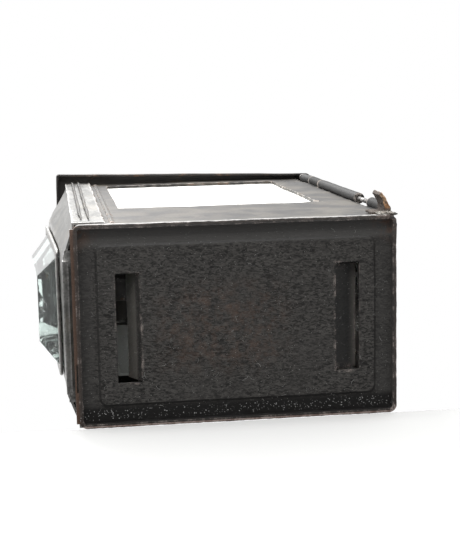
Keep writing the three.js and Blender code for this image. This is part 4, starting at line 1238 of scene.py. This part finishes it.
class LANTERN_OT_door(LanternOperator, bpy.types.Operator):
    """The hemmed back door, its pull, the reflector and its rivets"""

    bl_idname = "lantern.door"
    bl_label = "Back door"

    def build(self):
        formed("back_door", "black_japan", "door", "japanned_tin")
        formed("reflector", "bright_tin", "door", "bright_tin", dent=0.1 * MM)
        for number in (1, 2):
            self.build_rivet(f"reflector_rivet_{number}")
        self.build_pull()

    @staticmethod
    def build_rivet(node):
        centre = centre_of(node)
        low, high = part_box(node)
        radius = size_of(node).x / 2
        shank = 0.52 * radius
        depth = high.y - low.y
        profile = [(0.0, 0.0), *arc((radius - 0.4 * MM, 0.4 * MM), 0.4 * MM, -90, 0, 4)]
        profile += [(radius, 0.55 * MM), (0.96 * radius, 0.8 * MM)]
        profile += [(shank, 0.8 * MM), (shank, depth - 0.8 * MM)]
        profile += [(radius, depth - 0.8 * MM), (0.96 * radius, depth - 0.5 * MM)]
        profile += [*arc((0.35 * radius, depth - 0.55 * MM), 0.55 * MM, 40, 90, 4), (0.0, depth)]
        bm = spun(profile, (centre.x, low.y, centre.z), (0, 1, 0), 28)
        finish_piece(node + "_turned", bm, "aged_brass", "door", [node])

    @staticmethod
    def build_pull():
        low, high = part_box("door_pull")
        centre = (low + high) / 2
        radius = size_of("door_pull").x / 2
        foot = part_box("latch_button")[0].y - low.y - 0.5 * MM
        tip = high.y - low.y
        profile = [(0.0, 0.0), (0.6 * radius, 0.0), (0.64 * radius, 0.3 * MM), (0.64 * radius, 0.75 * MM)]
        profile += [(0.33 * radius, 0.8 * MM), (0.33 * radius, foot), (0.72 * radius, foot)]
        profile += [(0.74 * radius, foot + 0.5 * MM), (0.55 * radius, foot + 1.0 * MM)]
        profile += arc((0.9 * radius, foot + 2.0 * MM), 0.46 * radius, 215, 145, 7)
        profile += [(0.66 * radius, foot + 3.1 * MM)]
        ball = 0.5 * (tip - foot - 3.2 * MM)
        profile += [
            (radius * 0.6 + radius * 0.4 * math.sin(t), foot + 3.2 * MM + ball * (1 - math.cos(t)))
            for t in [math.pi * i / 12 for i in range(1, 11)]
        ]
        profile += [(0.5 * radius, tip - 0.05 * MM), (0.2 * radius, tip), (0.0, tip)]
        bm = spun(profile, (centre.x, low.y, centre.z), (0, 1, 0), 40)
        finish_piece("door_pull_turned", bm, "aged_brass", "door", ["door_pull"])


class LANTERN_OT_latch(LanternOperator, bpy.types.Operator):
    """The turn button and its rivet"""

    bl_idname = "lantern.latch"
    bl_label = "Latch"

    def build(self):
        brass = {"look": "aged_brass", "slot": "aged_brass", "fold": 0.25 * MM, "facet": 1 * MM}
        formed("latch_button", body="latch", dent=0.08 * MM, **brass)
        formed("latch_rivet", body="case", dent=0.0, segments=3, **brass)


class LANTERN_OT_hinge(LanternOperator, bpy.types.Operator):
    """The hinge pin with its peened heads and the rusty tab at its foot"""

    bl_idname = "lantern.hinge"
    bl_label = "Hinge pin and tab"

    def build(self):
        low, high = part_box("hinge_pin")
        centre = (low + high) / 2
        head = (high.x - low.x) / 2
        pin = 0.8 * MM
        tall = high.z - low.z
        profile = [(0.0, 0.0), (0.6 * head, 0.05 * MM), (0.95 * head, 0.4 * MM), (head, 0.8 * MM)]
        profile += [(0.9 * head, 1.15 * MM), (pin, 1.2 * MM)]
        profile += [(pin, 1.2 * MM + (tall - 2.4 * MM) * i / 12) for i in range(1, 13)]
        profile += [(0.9 * head, tall - 1.15 * MM), (head, tall - 0.8 * MM)]
        profile += [(0.95 * head, tall - 0.35 * MM), (0.5 * head, tall), (0.0, tall)]
        bm = spun(profile, (centre.x, centre.y, low.z), sides=24)
        finish_piece("hinge_pin_turned", bm, "iron_wire", "case", ["hinge_pin"])

        def shape(place):
            """Rust scale that lifts the tab's surface and eats its edges."""
            coarse = 0.22 * MM * noise.noise_vector(place / (1.2 * MM))
            return coarse + 0.1 * MM * noise.noise_vector(place / (0.4 * MM))

        fine_mesh = {"fold": 0.15 * MM, "facet": 0.35 * MM}
        formed("corner_tab", "rusty_tin", "case", "rusty_tin", dent=0.0, shape=shape, **fine_mesh)


class LANTERN_OT_hood(LanternOperator, bpy.types.Operator):
    """The eave, hipped roof, chimney, cap and its legs"""

    bl_idname = "lantern.hood"
    bl_label = "Hood"

    def build(self):
        formed("eave_plate", "eave_japan", "case", "japanned_tin")
        formed("roof", "black_japan", "case", "japanned_tin", dent=0.35 * MM)
        formed("chimney", "grey_japan", "case", "worn_tin", facet=1.6 * MM, dent=0.08 * MM)
        for number in (1, 2, 3):
            formed(f"cap_leg_{number}", "grey_japan", "case", "worn_tin", facet=1.2 * MM, dent=0.05 * MM)
        self.build_cap()
        self.build_burrs()
        self.build_hips()

    @staticmethod
    def build_cap():
        """A spun cone with two shallow steps and a rolled edge, hollow beneath."""
        low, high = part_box("chimney_cap")
        centre = centre_of("chimney_cap")
        roll = 0.9 * MM
        rim = size_of("chimney_cap").x / 2 - roll
        rise = high.z - low.z
        tin = 0.7 * MM

        def height(share):
            """Height of the outside at a share of the rim's radius."""
            step = 0.35 * MM * math.sin(share * 4 * math.pi)
            return roll * 1.2 + (rise - roll * 1.2) * (1 - share) + step * (1 - share) * share * 4

        count = 26
        outside = [(rim * i / count, height(i / count)) for i in range(count)]
        inside = [(max(0.0, r), h - tin) for r, h in reversed(outside)]
        edge = [(rim + (roll - 0.02 * MM) * math.cos(t), roll + roll * math.sin(t))
                for t in [math.radians(130 - 310 * i / 14) for i in range(15)]]
        profile = outside + edge + inside

        def bulge(turn, radius, _):
            return 0.006 * math.sin(3 * turn + 0.7) * radius / rim + 0.003 * math.sin(11 * turn)

        bm = spun(profile, (centre.x, centre.y, low.z), sides=96, bulge=bulge)
        finish_piece("chimney_cap_spun", bm, "black_japan", "case", ["chimney_cap"])

    @staticmethod
    def build_burrs():
        """The torn rims of the chimney's punched holes."""
        centre = centre_of("chimney")
        low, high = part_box("chimney")
        radius = 12.5 * MM
        height = low.z + 0.42 * (high.z - low.z)
        twist = math.radians(1.4)
        turns = [twist + math.pi / 2 + 2 * math.pi * i / 10 for i in range(10)]
        away = [Vector((math.cos(t), math.sin(t), 0.0)) for t in turns]
        places = [Vector((centre.x, centre.y, height)) + radius * d for d in away]
        source = source_object("burr_places", places)
        source.data.attributes.new("direction", "FLOAT_VECTOR", "POINT")
        for item, d in zip(source.data.attributes["direction"].data, away):
            item.vector = d
        piece = grown("hole_burrs", source, burr_tree(), {"Hole radius": 1.75 * MM, "Burr radius": 0.24 * MM})
        declare(piece, "case")

    @staticmethod
    def build_hips():
        """A folded seam up each of the roof's four hips."""
        centre = centre_of("roof")
        low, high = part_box("roof")
        foot = [29.8 * MM, 47.8 * MM]
        ridge = [15 * MM, 31 * MM]
        twist = Matrix.Rotation(math.radians(1.4), 3, "Z")
        number = 0
        for side in (-1, 1):
            for end in (-1, 1):
                number += 1
                start = twist @ Vector((side * foot[0], end * foot[1], 0.0))
                stop = twist @ Vector((side * ridge[0], end * ridge[1], 0.0))
                start += Vector((centre.x, centre.y, low.z + 0.6 * MM))
                stop += Vector((centre.x, centre.y, high.z + 0.05 * MM))
                straight = [start.lerp(stop, i / 20) for i in range(21)]
                path = [place + waver(place, 0.2 * MM, 9 * MM) for place in straight]
                bm = wire(path, 0.75 * MM, 12, thickness=lambda s: min(1.0, 0.4 + 12 * s, 0.4 + 12 * (1 - s)))
                finish_piece(f"roof_hip_{number}", bm, "black_japan", "case")


class LANTERN_OT_ring(LanternOperator, bpy.types.Operator):
    """The carrying ring and the staple that it swings in"""

    bl_idname = "lantern.ring"
    bl_label = "Carrying ring"

    def build(self):
        swing = next(j for j in frame["joints"] if j["name"] == "ring_swing")
        pivot = Vector(swing["pos_m"])
        axis = Vector(swing["axis"])
        centre = centre_of("carrying_ring")
        outward = centre - pivot
        radius = outward.length
        outward.normalize()
        path = [
            centre + radius * (math.cos(t) * outward + math.sin(t) * axis)
            for t in [2 * math.pi * i / 120 for i in range(120)]
        ]

        def thickness(share):
            """Drawn wire, lapped and soldered where its ends meet at the far side."""
            lap = max(0.0, 1 - min(share, 1 - share) / 0.035)
            return 1.0 + 0.02 * math.sin(41 * share) + 0.22 * lap * lap

        ring_wire = 1.38 * MM
        bm = wire(path, ring_wire, 18, closed=True, thickness=thickness)
        finish_piece("carrying_ring_drawn", bm, "iron_wire", "ring", ["carrying_ring"])
        self.build_staple(pivot, axis)

    @staticmethod
    def build_staple(pivot, axis):
        low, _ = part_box("ring_staple")
        eye = 3.4 * MM
        wire_radius = 0.9 * MM
        disc_radius = eye + wire_radius + 0.6 * MM
        across = axis.cross(Vector((0, 0, 1))).normalized()
        foot = low.z + 0.5 * MM
        legs = [pivot - eye * across + Vector((0, 0, (foot - pivot.z) * (1 - i / 6))) for i in range(6)]
        crown = [
            pivot + eye * (-math.cos(t) * across + math.sin(t) * Vector((0, 0, 1)))
            for t in [math.pi * i / 24 for i in range(25)]
        ]
        down = [pivot + eye * across + Vector((0, 0, (foot - pivot.z) * (i + 1) / 6)) for i in range(6)]
        bm = wire(legs + crown + down, wire_radius, 16)
        thick = 1.0 * MM
        profile = [(0.0, 0.0), (disc_radius, 0.0), (disc_radius, 0.4 * thick)]
        profile += [(disc_radius - 0.3 * MM, 0.8 * thick), (0.72 * disc_radius, thick), (0.0, thick)]
        disc = spun(profile, (pivot.x, pivot.y, low.z), sides=40)
        whole = join_meshes(bm, disc)
        finish_piece("ring_staple_drawn", whole, "iron_wire", "case", ["ring_staple"])


class LANTERN_OT_candle(LanternOperator, bpy.types.Operator):
    """The candle with its drips, its wick, cup and lift-out tray"""

    bl_idname = "lantern.candle"
    bl_label = "Candle and tray"

    def build(self):
        formed("candle_tray", "dull_tin", "candle_holder", "grey_tin", dent=0.12 * MM)
        formed("candle_cup", "aged_brass", "candle_holder", "aged_brass", facet=1.4 * MM, dent=0.06 * MM)
        self.build_candle()
        self.build_wick()

    @staticmethod
    def build_candle():
        low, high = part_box("candle")
        centre = centre_of("candle")
        radius = size_of("candle").x / 2 - 0.15 * MM
        tall = high.z - low.z
        drips = [(0.6, 0.26, 30), (2.3, 0.2, 17), (3.9, 0.3, 38), (5.3, 0.18, 12)]
        shoulder = tall - 1.6 * MM
        profile = [(0.0, 0.0), (0.96 * radius, 0.0), (radius, 0.5 * MM)]
        profile += [(radius, 0.5 * MM + (shoulder - 0.5 * MM) * i / 44) for i in range(1, 45)]
        profile += arc((radius - 1.3 * MM, shoulder + 0.2 * MM), 1.3 * MM, 10, 110, 8)
        profile += [(0.72 * radius, tall - 1.0 * MM), (0.5 * radius, tall - 1.9 * MM)]
        profile += [(0.25 * radius, tall - 2.1 * MM), (0.0, tall - 1.8 * MM)]

        def bulge(turn, at_radius, height):
            """Runs of wax that start at the top and end in a drop."""
            if at_radius < 0.9 * radius:
                return 0.0
            grown = 0.004 * math.sin(2 * turn + height / (6 * MM))
            for where, width, length in drips:
                off = abs((turn - where + math.pi) % (2 * math.pi) - math.pi) / width
                fall = (tall - height) / (length * MM)
                if off < 1 and fall < 1.12:
                    drop = 0.055 + 0.05 * math.exp(-(((fall - 0.95) / 0.12) ** 2))
                    end = min(1.0, (1.12 - fall) / 0.1)
                    grown += drop * (1 - off * off) ** 2 * end
            return grown - 0.03

        bm = spun(profile, (centre.x, centre.y, low.z), sides=96, bulge=bulge)
        finish_piece("candle_poured", bm, "ivory_wax", "candle_holder", ["candle"], math.radians(60))

    @staticmethod
    def build_wick():
        low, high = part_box("wick")
        centre = centre_of("wick")
        tall = high.z - low.z
        path = []
        for i in range(37):
            share = i / 36
            lean = 1.5 * MM * max(0.0, share - 0.5) ** 2 * 4
            height = tall * (share - 0.04 * share**6)
            path.append(Vector((centre.x + lean, centre.y - 0.4 * lean, low.z + height)))
        strands = []
        for start in (0.0, 2 * math.pi / 3, 4 * math.pi / 3):
            strand = []
            for i, place in enumerate(path):
                turn = start + i * 0.55
                strand.append(place + 0.28 * MM * Vector((math.cos(turn), math.sin(turn), 0.0)))
            strands.append(wire(strand, 0.36 * MM, 8, thickness=lambda s: 1.0 - 0.35 * max(0.0, s - 0.8) * 5))
        finish_piece("wick_plaited", join_meshes(*strands), "burnt_wick", "candle_holder", ["wick"])


class LANTERN_OT_dust(LanternOperator, bpy.types.Operator):
    """Lint and dust caught in the base's wrinkles"""

    bl_idname = "lantern.dust"
    bl_label = "Dust"

    def build(self):
        dust = settings("lantern_dust")
        low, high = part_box("base_plate")
        inset = 2.6 * MM
        z = 1.62 * MM
        corners = [
            (low.x + inset, low.y + inset, z),
            (low.x + inset, high.y - inset, z),
            (high.x - inset, high.y - inset, z),
            (high.x - inset, low.y + inset, z),
        ]
        area = (high.x - low.x - 2 * inset) * (high.y - low.y - 2 * inset)
        fibres = {"Density": dust.fibres / area, "Length": dust.fibre_length, "Radius": dust.fibre_radius}
        specks = {"Density": dust.specks / area, "Radius": dust.speck_radius}
        kinds = (("lint_fibres", lint_tree(), fibres, 5), ("dust_specks", speck_tree(), specks, 8))
        for name, tree, values, seed in kinds:
            source = source_object(name + "_field", corners, faces=[(0, 1, 2, 3)])
            declare(grown(name, source, tree, {**values, "Seed": seed}), "case")


class LANTERN_OT_stage(LanternOperator, bpy.types.Operator):
    """White surround, soft lights, two one-sided floors and the camera"""

    bl_idname = "lantern.stage"
    bl_label = "Stage"

    def build(self):
        stage = settings("lantern_stage")
        scene = bpy.context.scene
        scene.view_settings.view_transform = "Standard"
        world = bpy.data.worlds.new("white_surround")
        world.use_nodes = True
        self.paint_surround(world, stage)
        scene.world = world
        self.add_light("side_softbox", stage.softbox, 0.5, (0.55, -0.08, -0.12), (0.0, 0.0, 0.06))
        self.add_light("top_softbox", stage.top_light, 0.3, (0.5, -0.15, 0.6), (0.0, 0.0, 0.1))
        self.add_floors()
        self.add_camera(stage)

    @staticmethod
    def paint_surround(world, stage):
        """Plain white to look at, while the light comes mostly from above and from the +X side."""
        f = Finish("white_surround", world, "Generated")
        above = f.step(f.z, -0.75, 0.35)
        light = stage.below + (stage.above - stage.below) * above + stage.beside * f.step(f.x, 0.1, 1.0)
        seen = f.node("ShaderNodeLightPath", output="Is Camera Ray")
        strength = seen + (1 - seen) * light
        sky = f.node("ShaderNodeBackground", {}, {"Color": (1.0, 1.0, 1.0, 1.0), "Strength": strength})
        f.node("ShaderNodeOutputWorld", {}, {"Surface": sky})

    @staticmethod
    def aim(obj, place, target):
        obj.location = place
        direction = Vector(target) - Vector(place)
        obj.rotation_euler = direction.to_track_quat("-Z", "Y").to_euler()

    def add_light(self, name, power, size, place, target):
        light = bpy.data.lights.new(name, "AREA")
        light.energy = power
        light.shape = "SQUARE"
        light.size = size
        lamp = bpy.data.objects.new(name, light)
        bpy.context.scene.collection.objects.link(lamp)
        self.aim(lamp, place, target)

    @staticmethod
    def floor_finish():
        """White paper that only its upper face shows."""
        f = Finish("white_paper")
        grain = f.cloud(2 * MM, 3, 0.5)
        level = f.blend(grain, (0.66, 0.66, 0.655), (0.68, 0.68, 0.675))
        facing = f.part(f.node("ShaderNodeNewGeometry", output="Normal"), "X")
        level = f.blend(f.step(facing, 0.3, 0.6), level, (0.49, 0.49, 0.485))
        paper = f.shade(Base_Color=level, Roughness=0.9)
        clear = f.node("ShaderNodeBsdfTransparent")
        behind = f.node("ShaderNodeNewGeometry", output="Backfacing")
        return f.finish(f.node("ShaderNodeMixShader", {}, {0: behind, 1: paper, 2: clear}))

    def add_floors(self):
        """One floor under the standing lantern, and one that it lies on when seen from below its base."""
        paper = self.floor_finish()
        reach = 3.0
        standing = source_object(
            "standing_floor",
            [(-reach, -reach, 0), (reach, -reach, 0), (reach, reach, 0), (-reach, reach, 0)],
            faces=[(0, 1, 2, 3)],
        )
        base_low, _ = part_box("base_plate")
        eave_low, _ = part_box("eave_plate")
        slope = (eave_low.x - base_low.x) / eave_low.z
        near = -0.6
        lying = source_object(
            "lying_floor",
            [
                (base_low.x + slope * near, -reach, near),
                (base_low.x + slope * near, reach, near),
                (base_low.x, reach, -0.0005),
                (base_low.x, -reach, -0.0005),
            ],
            faces=[(0, 1, 2, 3)],
        )
        for floor in (standing, lying):
            floor.data.materials.append(paper)
            floor.visible_transmission = False
            self.set_apart(floor)
        self.add_shade_card(eave_low)

    @staticmethod
    def set_apart(obj):
        """Stage pieces throw no light or shade on the lantern."""
        obj.visible_diffuse = False
        obj.visible_glossy = False
        obj.visible_shadow = False

    def add_shade_card(self, eave_low):
        """Painted shade: a dark card behind the -X pane where the lantern lies on it, seen only through
        glass.
        """
        pane_low, pane_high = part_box("left_window_glass")
        x = eave_low.x - 0.001
        corners = [
            (x, pane_low.y, pane_low.z),
            (x, pane_high.y, pane_low.z),
            (x, pane_high.y, pane_high.z),
            (x, pane_low.y, pane_high.z),
        ]
        card = source_object("shade_card", corners, faces=[(0, 1, 2, 3)])
        f = Finish("painted_shade_card")
        shade_mottle = f.cloud(1.5 * MM, 3, 0.5)
        tone = f.blend(shade_mottle, (0.012, 0.012, 0.012), (0.03, 0.03, 0.03))
        card.data.materials.append(f.finish(f.shade(Base_Color=tone, Roughness=1.0)))
        card.visible_camera = False
        self.set_apart(card)

    @staticmethod
    def add_camera(stage):
        """Below the base and a little to its +X side, looking up the lantern with +X upwards."""
        data = bpy.data.cameras.new("view_from_the_base")
        data.sensor_fit = "HORIZONTAL"
        data.sensor_width = 36.0
        data.lens = stage.focal_length
        data.clip_start = 0.01
        camera = bpy.data.objects.new("view_from_the_base", data)
        bpy.context.scene.collection.objects.link(camera)
        place = Vector((0.0731, -0.0521, -0.3851))
        target = Vector((0.0131, 0.0008, 0.0))
        roll = math.radians(1.12)
        forward = (target - place).normalized()
        level_up = (Vector((1, 0, 0)) - forward * forward.x).normalized()
        up = math.cos(roll) * level_up + math.sin(roll) * forward.cross(level_up)
        right = forward.cross(up)
        turn = Matrix((right, up, -forward)).transposed()
        camera.matrix_world = Matrix.Translation(place) @ turn.to_4x4()
        bpy.context.scene.camera = camera


OPERATORS = (
    LANTERN_OT_stage,
    LANTERN_OT_base,
    LANTERN_OT_walls,
    LANTERN_OT_lens,
    LANTERN_OT_panes,
    LANTERN_OT_door,
    LANTERN_OT_latch,
    LANTERN_OT_hinge,
    LANTERN_OT_hood,
    LANTERN_OT_ring,
    LANTERN_OT_candle,
    LANTERN_OT_dust,
)


class LANTERN_PT_sidebar(bpy.types.Panel):
    """Lists the lantern's operators and settings"""

    bl_idname = "LANTERN_PT_sidebar"
    bl_label = "Candle lantern"
    bl_space_type = "VIEW_3D"
    bl_region_type = "UI"
    bl_category = "Lantern"

    def draw(self, context):
        for operator in OPERATORS:
            self.layout.operator(operator.bl_idname)
        for name, group in SETTINGS.items():
            box = self.layout.box()
            for field in group.__annotations__:
                box.prop(getattr(context.scene, name), field)


CLASSES = (*SETTINGS.values(), *OPERATORS, LANTERN_PT_sidebar)


def register():
    for cls in CLASSES:
        bpy.utils.register_class(cls)
    for name, group in SETTINGS.items():
        setattr(bpy.types.Scene, name, PointerProperty(type=group))


def unregister():
    for name in SETTINGS:
        delattr(bpy.types.Scene, name)
    for cls in reversed(CLASSES):
        bpy.utils.unregister_class(cls)


def main():
    register()
    for operator in OPERATORS:
        group, name = operator.bl_idname.split(".")
        getattr(getattr(bpy.ops, group), name)()


if __name__ == "__main__":
    main()
